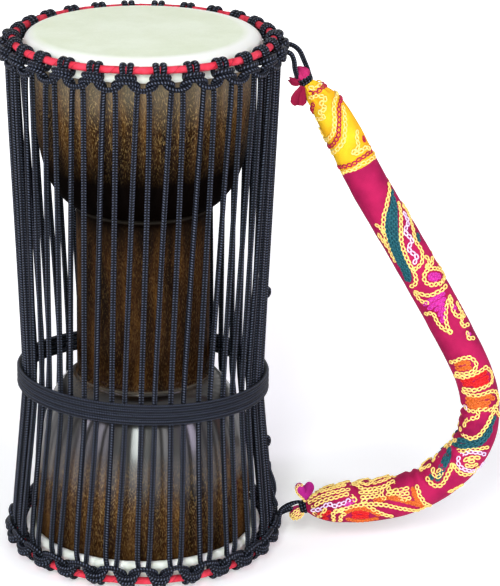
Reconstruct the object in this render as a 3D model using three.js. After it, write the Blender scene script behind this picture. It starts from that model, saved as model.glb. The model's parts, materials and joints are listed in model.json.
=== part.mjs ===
import * as THREE from 'three';

// Talking drum: an hourglass shell of turned wood with a goatskin head at each end, held by cloth-wrapped
// crown rings that one long rope laces together, and a stuffed, embroidered carrying strap.
// Millimetres, +Z up. The origin is the centre of the lower head's outer face, the strap hangs towards +X.

// Drum as a whole
const ringSpan = 402;             // between the planes of the two crown rings
const headRise = 7.5;             // playing face beyond the plane of its crown ring
const knotCount = 26;             // rope knots on each crown ring
const seatGap = 0.3;              // clearance between pieces that touch

// Wooden shell
const rimRadius = 84.8;
const neckRadius = 51.6;
const neckWall = 11;
const bowlWall = 7;
const neckTopRise = 72.7;         // upper bead above the middle of the drum
const neckBottomDrop = 65.9;      // lower bead below the middle
const beadWidth = 3.6;
const beadRise = 1.2;
const edgeRounding = 4.8;         // from the rim's outside to the crest that the skin bears on
const edgeFlat = 2.4;

// Goatskin heads and their hoops
const skinThickness = 0.9;
const hoopWireRadius = 2.6;
const hoopDrop = 8;               // flesh hoop's centre below the plane of the crown ring
const shoulderDrop = 8.6;         // height of the skin's rounded shoulder
const shoulderFacets = 2;

// Crown rings
const ringWireRadius = 1.7;
const wrapThickness = 0.8;
const wrapSeam = 1.2;             // slit left open along the inside of the cloth wrap

// Ropes
const ropeDiameter = 3.8;
const beltTurns = 4;
const strandKnotTurns = 2;
const beltTurnGap = 0.45;
const beltDropShare = 0.341;      // of half the ring span, from the middle of the drum down to the belt's
const beltSideRise = 3.6;         // rise of the belt at its -X side, fall at its +X side
const beltFrontRise = 3.4;        // rise of the belt at its front, fall at its back
const beltWaistRadius = 92.6;     // tension ropes' centres where the belt draws them in
const upperKnotShare = 0.0025;    // small knots on the tension ropes, down from the middle as the belt is
const lowerKnotShare = 0.612;
const tailTopShare = 0.731;
const tailBottomShare = 0.881;

// Carrying strap
const strapReach = 182;           // from the drum's crown rings to the middle of the strap's bend
const strapDiameter = 30.4;
const strapWall = 1.4;
const neckDiameter = 9.2;         // gathered cloth inside the rope binding
const tuftDiameter = 14;          // cloth flared out beyond the binding
const tuftLength = 8;
const bindingTurns = 1.5;
const strapSides = 10;

// Sizes that follow from those above
const ropeRadius = ropeDiameter / 2;
const wrapRadius = ringWireRadius + seatGap + wrapThickness;
const hitchReach = wrapRadius + seatGap + ropeRadius;
const hoopRadius = rimRadius + seatGap + skinThickness + seatGap + hoopWireRadius;
const ringRadius = hoopRadius + hitchReach + ropeDiameter;
const faceRadius = rimRadius - edgeRounding;
const bottomRingZ = headRise;
const topRingZ = headRise + ringSpan;
const middleZ = headRise + ringSpan / 2;
const beltDrop = beltDropShare * ringSpan / 2;
const step = 2 * Math.PI / knotCount;
const pitch = ringRadius * step;

// Turned pieces: a profile of [radius, height] points, facets' corners in line with the knots
function turned(profile) {
  const points = profile.map(([radius, height]) => new THREE.Vector2(radius, height));
  const geometry = new THREE.LatheGeometry(points, knotCount, step / 2, 2 * Math.PI);
  return geometry.rotateX(Math.PI / 2);
}

function turnedOver(profile) {
  return profile.map(([radius, height]) => [radius, -height]).reverse();
}

function raised(profile, rise) {
  return profile.map(([radius, height]) => [radius, height + rise]);
}

// Outline of a sheet of even thickness whose middle runs through the points, left side first
function sheetOutline(middle, thickness) {
  const left = [];
  const right = [];
  middle.forEach(([x, y], i) => {
    const [x0, y0] = middle[Math.max(i - 1, 0)];
    const [x1, y1] = middle[Math.min(i + 1, middle.length - 1)];
    const length = Math.hypot(x1 - x0, y1 - y0);
    const across = [(y1 - y0) / length * thickness / 2, (x0 - x1) / length * thickness / 2];
    right.push([Math.max(x + across[0], 0), y + across[1]]);
    left.push([Math.max(x - across[0], 0), y - across[1]]);
  });
  return [...right, ...left.reverse()];
}

function closedLoop(profile) {
  return [...profile, profile[0]];
}

function circlePoints(centre, radius, from, to, count) {
  return Array.from({ length: count + 1 }, (_, i) => {
    const angle = from + (to - from) * i / count;
    return [centre[0] + radius * Math.cos(angle), centre[1] + radius * Math.sin(angle)];
  });
}

// Tubes: frames square to a path, carried along it without twist; a closed path ends as it began
function framesAlong(points, closed, sides) {
  const last = points.length - 1;
  const tangents = points.map((point, i) => {
    const before = points[i > 0 ? i - 1 : closed ? last : 0];
    const after = points[i < last ? i + 1 : closed ? 0 : last];
    const arriving = point.clone().sub(before).normalize();
    const leaving = after.clone().sub(point).normalize();
    return arriving.add(leaving).normalize();
  });
  const side = Math.abs(tangents[0].z) < Math.SQRT1_2 ? new THREE.Vector3(0, 0, 1) : new THREE.Vector3(1, 0, 0);
  const normals = [side.cross(tangents[0]).normalize()];
  const turn = new THREE.Quaternion();
  for (let i = 1; i < points.length; i++) {
    turn.setFromUnitVectors(tangents[i - 1], tangents[i]);
    normals.push(normals[i - 1].clone().applyQuaternion(turn));
  }
  if (closed) {
    turn.setFromUnitVectors(tangents[last], tangents[0]);
    const arrived = normals[last].clone().applyQuaternion(turn);
    const symmetry = 2 * Math.PI / sides;
    const across = tangents[0].clone().cross(normals[0]);
    const twist = Math.atan2(arrived.dot(across), arrived.dot(normals[0]));
    const excess = twist - symmetry * Math.round(twist / symmetry);
    const shift = Math.round(twist / symmetry);
    normals.forEach((normal, i) => normal.applyAxisAngle(tangents[i], -excess * i / points.length));
    return { tangents, normals, shift };
  }
  return { tangents, normals, shift: 0 };
}

function ringsAlong(points, radii, sides, frames) {
  return points.map((point, i) => {
    const across = frames.tangents[i].clone().cross(frames.normals[i]);
    return Array.from({ length: sides }, (_, j) => {
      const angle = 2 * Math.PI * j / sides;
      return point.clone()
        .addScaledVector(frames.normals[i], radii[i] * Math.cos(angle))
        .addScaledVector(across, radii[i] * Math.sin(angle));
    });
  });
}

function meshFrom(positions, triangles) {
  const geometry = new THREE.BufferGeometry();
  const numbers = positions.flatMap((point) => [point.x, point.y, point.z]);
  geometry.setAttribute('position', new THREE.Float32BufferAttribute(numbers, 3));
  geometry.setIndex(triangles);
  geometry.computeVertexNormals();
  return geometry;
}

function tube(points, radius, sides, closed = false) {
  const radii = Array.isArray(radius) ? radius : points.map(() => radius);
  const frames = framesAlong(points, closed, sides);
  const rings = ringsAlong(points, radii, sides, frames);
  const triangles = [];
  const spans = closed ? rings.length : rings.length - 1;
  for (let i = 0; i < spans; i++) {
    const wraps = i === rings.length - 1;
    for (let j = 0; j < sides; j++) {
      const next = (j + 1) % sides;
      const shift = wraps ? (sides - frames.shift % sides) % sides : 0;
      const above = wraps ? 0 : (i + 1) * sides;
      const a = i * sides + j;
      const b = i * sides + next;
      const c = above + (next + sides - shift) % sides;
      const d = above + (j + sides - shift) % sides;
      triangles.push(a, b, c, a, c, d);
    }
  }
  if (!closed) {
    const end = (rings.length - 1) * sides;
    for (let j = 1; j < sides - 1; j++) {
      triangles.push(0, j + 1, j, end, end + j, end + j + 1);
    }
  }
  return meshFrom(rings.flat(), triangles);
}

// Open-ended sleeve with a wall, along a path
function sleeve(points, radii, wall, sides) {
  const frames = framesAlong(points, false, sides);
  const outer = ringsAlong(points, radii, sides, frames);
  const inner = ringsAlong(points, radii.map((radius) => radius - wall), sides, frames);
  const hollow = points.length * sides;
  const end = (points.length - 1) * sides;
  const triangles = [];
  for (let j = 0; j < sides; j++) {
    const next = (j + 1) % sides;
    for (let i = 0; i < points.length - 1; i++) {
      const a = i * sides + j;
      const b = i * sides + next;
      const c = b + sides;
      const d = a + sides;
      triangles.push(a, b, c, a, c, d);
      triangles.push(hollow + a, hollow + c, hollow + b, hollow + a, hollow + d, hollow + c);
    }
    triangles.push(next, j, hollow + j, next, hollow + j, hollow + next);
    triangles.push(end + j, end + next, hollow + end + next, end + j, hollow + end + next, hollow + end + j);
  }
  return meshFrom([...outer.flat(), ...inner.flat()], triangles);
}

// Least gap between stretches of one winding, measured on its points
function leastGap(points, radius, apart) {
  let least = Infinity;
  points.forEach((point, i) => {
    for (let j = i + apart; j < points.length - 1; j++) {
      const line = new THREE.Line3(points[j], points[j + 1]);
      const near = line.closestPointToPoint(point, true, new THREE.Vector3());
      least = Math.min(least, near.distanceTo(point) - 2 * radius);
    }
  });
  return least;
}

// Place at an azimuth, counted from the front (-Y) towards +X
function around(azimuth, radius, z) {
  return new THREE.Vector3(radius * Math.sin(azimuth), -radius * Math.cos(azimuth), z);
}

// Radius of the faceted ring at an azimuth
function ringRadiusAt(azimuth) {
  const past = ((azimuth / step + 0.5) % 1 + 1) % 1 - 0.5;
  return ringRadius * Math.cos(step / 2) / Math.cos(past * step);
}

// Place beside knot k: along the ring, outwards from it and away from its head
function atKnot(k, along, out, away, end) {
  const azimuth = (k + 0.5) * step + along / ringRadius;
  const z = end > 0 ? topRingZ - away : bottomRingZ + away;
  return around(azimuth, ringRadiusAt(azimuth) + out, z);
}

// Shell: each bowl swells from the bead to the rim by these shares of its depth and of its swell
const bowlShares = [[0, 0], [0.025, 0.2], [0.075, 0.4], [0.15, 0.6], [0.26, 0.75], [0.4, 0.86],
  [0.6, 0.955], [0.85, 1]];
const boreShares = [[0, 0], [0.06, 0.2], [0.17, 0.5], [0.34, 0.78], [0.6, 0.96], [0.85, 1]];
const roundingShares = [[0.12, 0.75], [0.46, 0.28]];

function bowlOutline(neckLength) {
  const crest = ringSpan / 2 + headRise - skinThickness - seatGap;
  const depth = crest - neckLength;
  const foot = neckRadius + beadRise / 2;
  return [
    [neckRadius, neckLength - beadWidth],
    [neckRadius + beadRise, neckLength - beadWidth / 2],
    ...bowlShares.map(([rise, swell]) => [foot + (rimRadius - foot) * swell, neckLength + depth * rise]),
    ...roundingShares.map(([inward, down]) => [rimRadius - edgeRounding * inward, crest - edgeRounding * down]),
    [faceRadius, crest],
  ];
}

function boreOutline(neckLength) {
  const crest = ringSpan / 2 + headRise - skinThickness - seatGap;
  const depth = crest - neckLength;
  const neckBore = neckRadius - neckWall;
  const bowlBore = rimRadius - bowlWall;
  return [
    ...boreShares.map(([rise, swell]) => [neckBore + (bowlBore - neckBore) * swell, neckLength + depth * rise]),
    [faceRadius - edgeFlat, crest],
  ];
}

function shellProfile() {
  const outside = [...turnedOver(bowlOutline(neckBottomDrop)), ...bowlOutline(neckTopRise)];
  const inside = [...turnedOver(boreOutline(neckBottomDrop)), ...boreOutline(neckTopRise)].reverse();
  return raised(closedLoop([...outside, ...inside]), middleZ);
}

// Head: flat face, rounded shoulder, then round the flesh hoop and up between the hoop and the shell
function headProfile() {
  const faceMiddle = headRise - skinThickness / 2;
  const shoulderFoot = faceMiddle - shoulderDrop;
  const shoulder = Array.from({ length: shoulderFacets }, (_, i) => {
    const angle = (i + 1) / shoulderFacets * Math.PI / 2;
    return [faceRadius + (hoopRadius - faceRadius) * Math.sin(angle), shoulderFoot + shoulderDrop * Math.cos(angle)];
  });
  const foldRadius = hoopWireRadius + seatGap + skinThickness / 2;
  const fold = circlePoints([hoopRadius, -hoopDrop], foldRadius, Math.PI / 4, -Math.PI, 4);
  const middle = [[0, faceMiddle], [faceRadius, faceMiddle], ...shoulder, ...fold];
  return sheetOutline(middle, skinThickness);
}

function hoopProfile(radius, wire, sides) {
  return circlePoints([radius, 0], wire, 0, 2 * Math.PI, sides);
}

// Cloth wrap: a sheet rolled round the ring, its edges meeting at the inside
function wrapProfile() {
  const facets = 7;
  const roll = (ringWireRadius + seatGap) / Math.cos(Math.PI / facets) + wrapThickness / 2;
  const slit = wrapSeam / roll / 2;
  const middle = circlePoints([ringRadius, 0], roll, -Math.PI + slit, Math.PI - slit, facets);
  return closedLoop(sheetOutline(middle, wrapThickness));
}

// Cradle rope at one knot: up from the swag behind the tension rope, over the ring, down its back, out beside
// the knot and across its front, then the same way back. Each place is [along the ring, out from it, away from
// the head], in rope diameters.
const swagShares = [[1.85, 2.42, 3.5], [0.8, 1.65, 3]];
const barShares = [[1.7, 0.6, 1.75], [1.55, 2.5, 0.75]];
const loopShare = 0.75;
const loopFootShare = 0.75;

function inRope(places) {
  return places.map((place) => place.map((share) => share * ropeDiameter));
}

function bothSides(k, half, end) {
  const left = half.map(([along, out, away]) => atKnot(k, -along, out, away, end));
  const right = half.slice().reverse().map(([along, out, away]) => atKnot(k, along, out, away, end));
  return [...left, ...right];
}

function cradleRoute(end) {
  const loopAlong = loopShare * ropeDiameter;
  const half = [
    ...inRope(swagShares),
    [loopAlong, hitchReach, -hitchReach],
    [loopAlong, -hitchReach, -hitchReach],
    [loopAlong, -hitchReach, loopFootShare * ropeDiameter],
    ...inRope(barShares),
  ];
  return Array.from({ length: knotCount }, (_, k) => bothSides(k, half, end)).flat();
}

// Tension rope: behind a swag, over the front of a knot and behind the next swag, then down the drum and in
// under the belt to the other ring
const archShares = [[1.92, 0.97, 3.4], [2.01, 1.85, 2.23], [0.86, 2.62, 1.86]];

// Height of the belt's middle at an azimuth
function beltMiddle(azimuth) {
  return middleZ - beltDrop - beltSideRise * Math.sin(azimuth) + beltFrontRise * Math.cos(azimuth);
}

const beltTurnPitch = ropeDiameter + beltTurnGap;
const beltHeight = beltTurns * beltTurnPitch + ropeDiameter;

function waistPoints(from, to) {
  const share = (from.z - middleZ + beltDrop) / (from.z - to.z);
  const azimuthFrom = Math.atan2(from.x, -from.y);
  let turn = Math.atan2(to.x, -to.y) - azimuthFrom;
  turn -= 2 * Math.PI * Math.round(turn / (2 * Math.PI));
  const azimuth = azimuthFrom + turn * share;
  const upper = around(azimuth, beltWaistRadius, beltMiddle(azimuth) + beltHeight / 2);
  const lower = around(azimuth, beltWaistRadius, beltMiddle(azimuth) - beltHeight / 2);
  return from.z > to.z ? [upper, lower] : [lower, upper];
}

function lacingRoute() {
  const arch = inRope(archShares);
  const route = [];
  for (let i = 0; i < knotCount; i++) {
    const k = knotCount - 1 - i;
    const over = bothSides(k, arch, 1).reverse();
    const under = bothSides(k - 1, arch, -1).reverse();
    const next = bothSides(k - 1, arch, 1).reverse();
    route.push(...over, ...waistPoints(over[over.length - 1], under[0]));
    route.push(...under, ...waistPoints(under[under.length - 1], next[0]));
  }
  return route;
}

// Belt: a rope wound round the waist, its two ends leaving along their tangents
function beltRoute() {
  const perTurn = knotCount;
  const radius = (beltWaistRadius + ropeDiameter + seatGap) / Math.cos(Math.PI / perTurn);
  const count = beltTurns * perTurn;
  const points = Array.from({ length: count + 1 }, (_, i) => {
    const azimuth = Math.PI + i * 2 * Math.PI / perTurn;
    return around(azimuth, radius, beltMiddle(azimuth) + (i / count - 0.5) * beltTurns * beltTurnPitch);
  });
  const first = points[0].clone().sub(points[1]).normalize();
  const last = points[count].clone().sub(points[count - 1]).normalize();
  return [
    points[0].clone().addScaledVector(first, ropeDiameter),
    ...points,
    points[count].clone().addScaledVector(last, ropeDiameter),
  ];
}

// Point on the leg of the tension rope that stands nearest to the strap, at a height
function strandAt(z, route) {
  let best = null;
  for (let i = 0; i < route.length - 1; i++) {
    const [a, b] = [route[i], route[i + 1]];
    if ((a.z - z) * (b.z - z) <= 0 && Math.abs(a.z - b.z) > ropeDiameter) {
      const point = a.clone().lerp(b, (z - a.z) / (b.z - a.z));
      if (point.x > 0 && (!best || Math.abs(point.y) < Math.abs(best.y))) best = point;
    }
  }
  return best;
}

// Small knot: rope wound round one leg of the tension rope
function strandKnotRoute(dropShare, route) {
  const z = middleZ - dropShare * ringSpan / 2;
  const perTurn = 8;
  const radius = (ropeDiameter + seatGap) / Math.cos(Math.PI / perTurn);
  const rise = strandKnotTurns * (ropeDiameter + beltTurnGap);
  const count = strandKnotTurns * perTurn;
  return Array.from({ length: count + 1 }, (_, i) => {
    const centre = strandAt(z + rise * (i / count - 0.5), route);
    const angle = Math.PI + i * 2 * Math.PI / perTurn;
    return centre.add(new THREE.Vector3(radius * Math.cos(angle), radius * Math.sin(angle), 0));
  });
}

// Tail: the rope's end, laid down the outside of that leg, farther out as it falls
const tailOutShares = [1, 1.1, 1.45, 1.85, 2];
const tailAlongShares = [0, 0.4, 0.1, -0.5, 0];

function tailRoute(route) {
  return tailOutShares.map((out, i) => {
    const dropShare = tailTopShare + (tailBottomShare - tailTopShare) * i / (tailOutShares.length - 1);
    const z = middleZ - dropShare * ringSpan / 2;
    const place = new THREE.Vector3(out * ropeDiameter, tailAlongShares[i] * ropeDiameter, 0);
    return strandAt(z, route).add(place);
  });
}

// Strap: its middle line from neck to neck, as shares of its reach outside the crown rings and of half the
// distance between them, with its radius there as a share of its full radius
const strapShares = [
  [0.204, 0.785, 0.58], [0.237, 0.735, 0.8], [0.29, 0.645, 0.91], [0.375, 0.491, 0.96], [0.485, 0.316, 0.99],
  [0.6, 0.143, 1], [0.695, -0.01, 1], [0.777, -0.142, 1], [0.855, -0.277, 1], [0.905, -0.39, 1],
  [0.926, -0.497, 1.01], [0.907, -0.617, 1.02], [0.83, -0.726, 1.04], [0.72, -0.811, 1.06],
  [0.6, -0.858, 1.08], [0.475, -0.882, 1.1], [0.36, -0.893, 1.06], [0.27, -0.9, 0.9], [0.215, -0.904, 0.58],
];
const neckShares = { top: [0.16, 0.819], bottom: [0.17, -0.909] };

function strapPlace([reach, rise]) {
  return new THREE.Vector3(ringRadius + reach * strapReach, 0, middleZ + rise * ringSpan / 2);
}

// The strap's end beyond its neck, listed from the neck outwards
function strapEnd(neck, inside) {
  const outwards = neck.clone().sub(inside).normalize();
  const neckHalf = (bindingTurns * (ropeDiameter + beltTurnGap) + ropeDiameter) / 2 + seatGap;
  return [
    [-neckHalf, neckDiameter],
    [neckHalf, neckDiameter],
    [neckHalf + tuftLength / 3, (neckDiameter + tuftDiameter) / 2],
    [neckHalf + tuftLength, tuftDiameter],
  ].map(([ahead, diameter]) => [neck.clone().addScaledVector(outwards, ahead), diameter / 2]);
}

const strapBelly = strapShares.map((place) => [strapPlace(place), place[2] * strapDiameter / 2]);
const necks = { top: strapPlace(neckShares.top), bottom: strapPlace(neckShares.bottom) };
const strapLine = [
  ...strapEnd(necks.top, strapBelly[0][0]).reverse(),
  ...strapBelly,
  ...strapEnd(necks.bottom, strapBelly[strapBelly.length - 1][0]),
];

function strapCover() {
  const points = strapLine.map(([point]) => point);
  return sleeve(points, strapLine.map(([, radius]) => radius), strapWall, strapSides);
}

function strapFilling() {
  const points = strapBelly.map(([point]) => point);
  const radii = strapBelly.map(([, radius]) => radius - strapWall - 2 * seatGap);
  radii[0] /= 2;
  radii[radii.length - 1] /= 2;
  return tube(points, radii, strapSides);
}

// Strap tie: behind the throat of the knot that faces the strap, out through the windows on both sides of it,
// to the strap's neck and round it. Half of it in rope diameters, as the cradle rope's places are.
const tieThroatShares = [[0, 0.4, 3], [1.82, 0.16, 2.97], [3.05, 0.8, 2.2], [3, 2.6, 2]];
const tieLegShares = { top: [[2.8, 3.9, 2.6], [2.7, 5.6, 5.6]], bottom: [[2.8, 4, 2.6], [2.5, 5.8, 4]] };

function strapTie(name, end) {
  const inside = name === 'top' ? strapBelly[0][0] : strapBelly[strapBelly.length - 1][0];
  const ahead = inside.clone().sub(necks[name]).normalize();
  const facingKnot = knotCount / 4 - 0.5;
  const half = inRope([...tieThroatShares.slice(1), ...tieLegShares[name]]);
  const place = ([along, out, away]) => atKnot(facingKnot, along, out, away, end);
  const [middle] = inRope(tieThroatShares);
  const near = half.map(([along, out, away]) => place([-along, out, away]));
  const far = half.map(place);
  const perTurn = 8;
  const radius = (neckDiameter / 2 + seatGap + ropeRadius) / Math.cos(Math.PI / perTurn);
  const count = bindingTurns * perTurn;
  const rise = bindingTurns * (ropeDiameter + beltTurnGap);
  const side = new THREE.Vector3(0, 1, 0);
  const up = ahead.clone().cross(side);
  const winding = Array.from({ length: count + 1 }, (_, i) => {
    const angle = Math.PI + i * 2 * Math.PI / perTurn;
    return necks[name].clone()
      .addScaledVector(ahead, rise * (i / count - 0.5))
      .addScaledVector(side, radius * Math.cos(angle))
      .addScaledVector(up, radius * Math.sin(angle));
  });
  return [place(middle), ...near, ...winding, ...far.reverse()];
}

const drum = new THREE.Group();
const lacing = lacingRoute();
const belt = beltRoute();

function add(name, geometry, color, roughness, metalness = 0) {
  const material = new THREE.MeshStandardMaterial({ color, roughness, metalness });
  const mesh = new THREE.Mesh(geometry, material);
  mesh.name = name;
  drum.add(mesh);
  return mesh;
}

const woodColor = 0x4a2f1a;
const skinColor = 0xe6ead9;
const steelColor = 0x9a9da0;
const clothColor = 0xe03344;
const ropeColor = 0x262a35;
const strapColor = 0xb5155a;
const fillingColor = 0xd9cfb8;

add('shell', turned(shellProfile()), woodColor, 0.35);
for (const [name, end, ringZ] of [['top', 1, topRingZ], ['bottom', -1, bottomRingZ]]) {
  const facing = (profile) => raised(end > 0 ? profile : turnedOver(profile), ringZ);
  const hoopZ = ringZ - end * hoopDrop;
  add(`head_${name}`, turned(facing(headProfile())), skinColor, 0.6);
  add(`flesh_hoop_${name}`, turned(raised(hoopProfile(hoopRadius, hoopWireRadius, 6), hoopZ)), steelColor, 0.4, 1);
  add(`crown_ring_${name}`, turned(raised(hoopProfile(ringRadius, ringWireRadius, 6), ringZ)), steelColor, 0.4, 1);
  add(`ring_wrap_${name}`, turned(raised(wrapProfile(), ringZ)), clothColor, 0.85);
  add(`cradle_rope_${name}`, tube(cradleRoute(end), ropeRadius, 4, true), ropeColor, 0.8);
}
add('tension_rope', tube(lacing, ropeRadius, 4, true), ropeColor, 0.8);
add('waist_belt', tube(belt, ropeRadius, 6), ropeColor, 0.8);
add('strand_knot_upper', tube(strandKnotRoute(upperKnotShare, lacing), ropeRadius, 6), ropeColor, 0.8);
add('strand_knot_lower', tube(strandKnotRoute(lowerKnotShare, lacing), ropeRadius, 6), ropeColor, 0.8);
add('lacing_tail', tube(tailRoute(lacing), ropeRadius, 6), ropeColor, 0.8);
add('strap_tie_top', tube(strapTie('top', 1), ropeRadius, 6, true), ropeColor, 0.8);
add('strap_tie_bottom', tube(strapTie('bottom', -1), ropeRadius, 6, true), ropeColor, 0.8);
add('strap_cover', strapCover(), strapColor, 0.85);
add('strap_filling', strapFilling(), fillingColor, 0.9);

console.log('waist belt: least gap between turns', leastGap(belt, ropeRadius, knotCount - 2).toFixed(2), 'mm');

export default drum;
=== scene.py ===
import json
import math
import bpy
import numpy as np
from mathutils import Matrix, Vector
from mathutils.bvhtree import BVHTree

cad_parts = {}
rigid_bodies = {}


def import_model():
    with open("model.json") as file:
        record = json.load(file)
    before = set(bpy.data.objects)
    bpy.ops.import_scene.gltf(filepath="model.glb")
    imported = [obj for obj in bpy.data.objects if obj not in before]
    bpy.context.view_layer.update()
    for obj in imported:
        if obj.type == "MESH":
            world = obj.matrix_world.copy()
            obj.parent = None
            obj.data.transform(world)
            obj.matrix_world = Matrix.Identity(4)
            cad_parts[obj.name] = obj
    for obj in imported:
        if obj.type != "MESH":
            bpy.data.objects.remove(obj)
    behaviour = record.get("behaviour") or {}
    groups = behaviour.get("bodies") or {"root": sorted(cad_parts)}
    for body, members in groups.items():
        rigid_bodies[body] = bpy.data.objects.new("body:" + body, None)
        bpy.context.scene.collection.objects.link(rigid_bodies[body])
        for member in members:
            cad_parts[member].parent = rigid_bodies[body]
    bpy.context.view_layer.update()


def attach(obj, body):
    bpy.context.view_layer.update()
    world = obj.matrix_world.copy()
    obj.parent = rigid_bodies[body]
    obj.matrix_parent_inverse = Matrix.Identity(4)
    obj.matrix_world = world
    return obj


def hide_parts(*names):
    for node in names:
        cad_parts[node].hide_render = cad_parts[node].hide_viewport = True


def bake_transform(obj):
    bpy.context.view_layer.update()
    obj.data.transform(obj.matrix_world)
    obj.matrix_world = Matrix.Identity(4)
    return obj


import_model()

# Talking drum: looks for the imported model. Places are written in millimetres and made in metres.
mm = 0.001
print("talking drum: frame loaded")

# Camera, floor and light
studio = {
    "imageWidth": 500, "imageHeight": 586,
    "cameraPlace": (0.0, -2000.0, 908.5),   # mm
    "yaw": 2.37, "pitch": 19.33, "roll": 0.76,   # degrees
    "focalPixels": 2734.0, "sensorWidth": 36, "farthest": 50,
    "ambient": 0.2,
    "aim": (0.06, 0.0, 0.2),            # metres
    # soft boxes: bearing from the front and height of the middle in degrees, distance, width and height in metres,
    # brightness and tint
    "softBoxes": {
        "front_strip": (-9, 21, 2.2, 0.36, 2.0, 19.0, "#F2FBF7"),
        "front_soft": (20, 21, 2.2, 0.54, 2.0, 3.4, "#F6F6FA"),
        "left_box": (-49, 21, 2.2, 0.46, 2.0, 4.6, "#EFE8FF"),
        "left_strip": (-70, 21, 2.2, 0.26, 2.0, 10.0, "#EFE8FF"),
        "right_box": (55, 21, 2.2, 0.5, 2.0, 7.4, "#EAE0FF"),
        "back_box": (178, 30, 2.4, 1.4, 1.2, 1.9, "#FFFFFF"),
    },
    "floorNear": 0.26, "floorFar": 0.8,    # glow of the floor in the camera's eye, by the object and far behind it
    "floorRadius": 6000, "floorSteps": 24,
}


def linear(code):
    # sRGB hex to linear RGBA
    values = [int(code[i:i + 2], 16) / 255 for i in (1, 3, 5)]
    return [v / 12.92 if v <= 0.04045 else ((v + 0.055) / 1.055) ** 2.4 for v in values] + [1.0]


def feed(node, values):
    # sockets by name or number, properties or colour stops; a node or one of its outputs is linked to the socket
    for key, value in values.items():
        if key == "stops":
            ramp = node.color_ramp
            while len(ramp.elements) < len(value):
                ramp.elements.new(0.5)
            for element, (place, code) in zip(ramp.elements, value):
                element.position = place
                element.color = linear(code)
        elif isinstance(value, (bpy.types.Node, bpy.types.NodeSocket)):
            source = value.outputs[0] if isinstance(value, bpy.types.Node) else value
            node.id_data.links.new(source, node.inputs[key])
        elif isinstance(key, int) or key in node.inputs:
            node.inputs[key].default_value = linear(value) if isinstance(value, str) else value
        else:
            setattr(node, key, value)


def addNode(tree, kind, values):
    node = tree.nodes.new("ShaderNode" + kind)
    feed(node, values)
    return node


def newMaterial(name, values):
    # the last thing given back is the place on the object, in metres
    material = bpy.data.materials.new(name)
    material.use_nodes = True
    tree = material.node_tree
    tree.nodes.clear()
    shader = addNode(tree, "BsdfPrincipled", values)
    addNode(tree, "OutputMaterial", {"Surface": shader})
    return material, tree, shader, addNode(tree, "TexCoord", {}).outputs["Object"]


def seenDirectly(tree):
    # 1 for the camera's eye and for what gloss and glass show, 0 for the light on the object
    rays = addNode(tree, "LightPath", {})
    seen = addNode(tree, "Math", {
        "operation": "MAXIMUM", 0: rays.outputs["Is Camera Ray"], 1: rays.outputs["Is Glossy Ray"]})
    return addNode(tree, "Math", {"operation": "MAXIMUM", 0: seen, 1: rays.outputs["Is Transmission Ray"]})


def cameraAxes():
    yaw, pitch, roll = (math.radians(studio[k]) for k in ("yaw", "pitch", "roll"))
    ahead = Vector((math.sin(yaw) * math.cos(pitch), math.cos(yaw) * math.cos(pitch), -math.sin(pitch)))
    right = ahead.cross(Vector((0, 0, 1))).normalized()
    up = right.cross(ahead)
    return ahead, right * math.cos(roll) + up * math.sin(roll), up * math.cos(roll) - right * math.sin(roll)


ahead, right, up = cameraAxes()
cameraPlace = Vector(studio["cameraPlace"]) * mm
camera = bpy.data.objects.new("camera", bpy.data.cameras.new("camera"))
camera.data.sensor_width = studio["sensorWidth"]
camera.data.lens = studio["sensorWidth"] * studio["focalPixels"] / studio["imageHeight"]
camera.data.clip_end = studio["farthest"]
camera.matrix_world = Matrix.Translation(cameraPlace) @ Matrix((right, up, -ahead)).transposed().to_4x4()
bpy.context.scene.collection.objects.link(camera)
bpy.context.scene.camera = camera
bpy.context.scene.view_settings.view_transform = "Standard"

world = bpy.data.worlds.new("studio")
bpy.context.scene.world = world
world.use_nodes = True
sky = world.node_tree
sky.nodes.clear()
level = addNode(sky, "MapRange", {"To Min": studio["ambient"], "To Max": 1.0, "Value": seenDirectly(sky)})
glow = addNode(sky, "Background", {"Color": "#FFFFFF", "Strength": level})
addNode(sky, "OutputWorld", {"Surface": glow})


def addSoftBox(name, bearing, height, distance, width, tall, brightness, tint):
    lamp = bpy.data.objects.new(name, bpy.data.lights.new(name, "AREA"))
    lamp.data.energy = brightness * math.pi * width * tall
    lamp.data.color = linear(tint)[:3]
    lamp.data.shape = "RECTANGLE"
    lamp.data.size, lamp.data.size_y = width, tall
    turned, lifted = math.radians(bearing), math.radians(height)
    back = Vector((math.sin(turned) * math.cos(lifted), -math.cos(turned) * math.cos(lifted), math.sin(lifted)))
    lamp.location = Vector(studio["aim"]) + back * distance
    lamp.rotation_euler = (-back).to_track_quat("-Z", "Y").to_euler()
    lamp.visible_camera = False
    bpy.context.scene.collection.objects.link(lamp)


for name, box in studio["softBoxes"].items():
    addSoftBox(name, *box)
print("camera, world and lamps made")


# Mesh tools
def makeObject(name, points, faces, corners, materials, faceMaterials=None):
    # points in mm; corners holds one (u, v) for each face corner
    mesh = bpy.data.meshes.new(name)
    mesh.from_pydata((np.asarray(points).reshape(-1, 3) * mm).tolist(), [], faces)
    layer = mesh.uv_layers.new(name="UVMap")
    layer.data.foreach_set("uv", np.asarray(corners, np.float32).ravel())
    for material in materials:
        mesh.materials.append(material)
    if faceMaterials is not None:
        mesh.polygons.foreach_set("material_index", np.asarray(faceMaterials, np.int32))
    mesh.polygons.foreach_set("use_smooth", np.ones(len(faces), bool))
    mesh.validate()
    mesh.update()
    thing = bpy.data.objects.new(name, mesh)
    bpy.context.scene.collection.objects.link(thing)
    return thing


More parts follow.
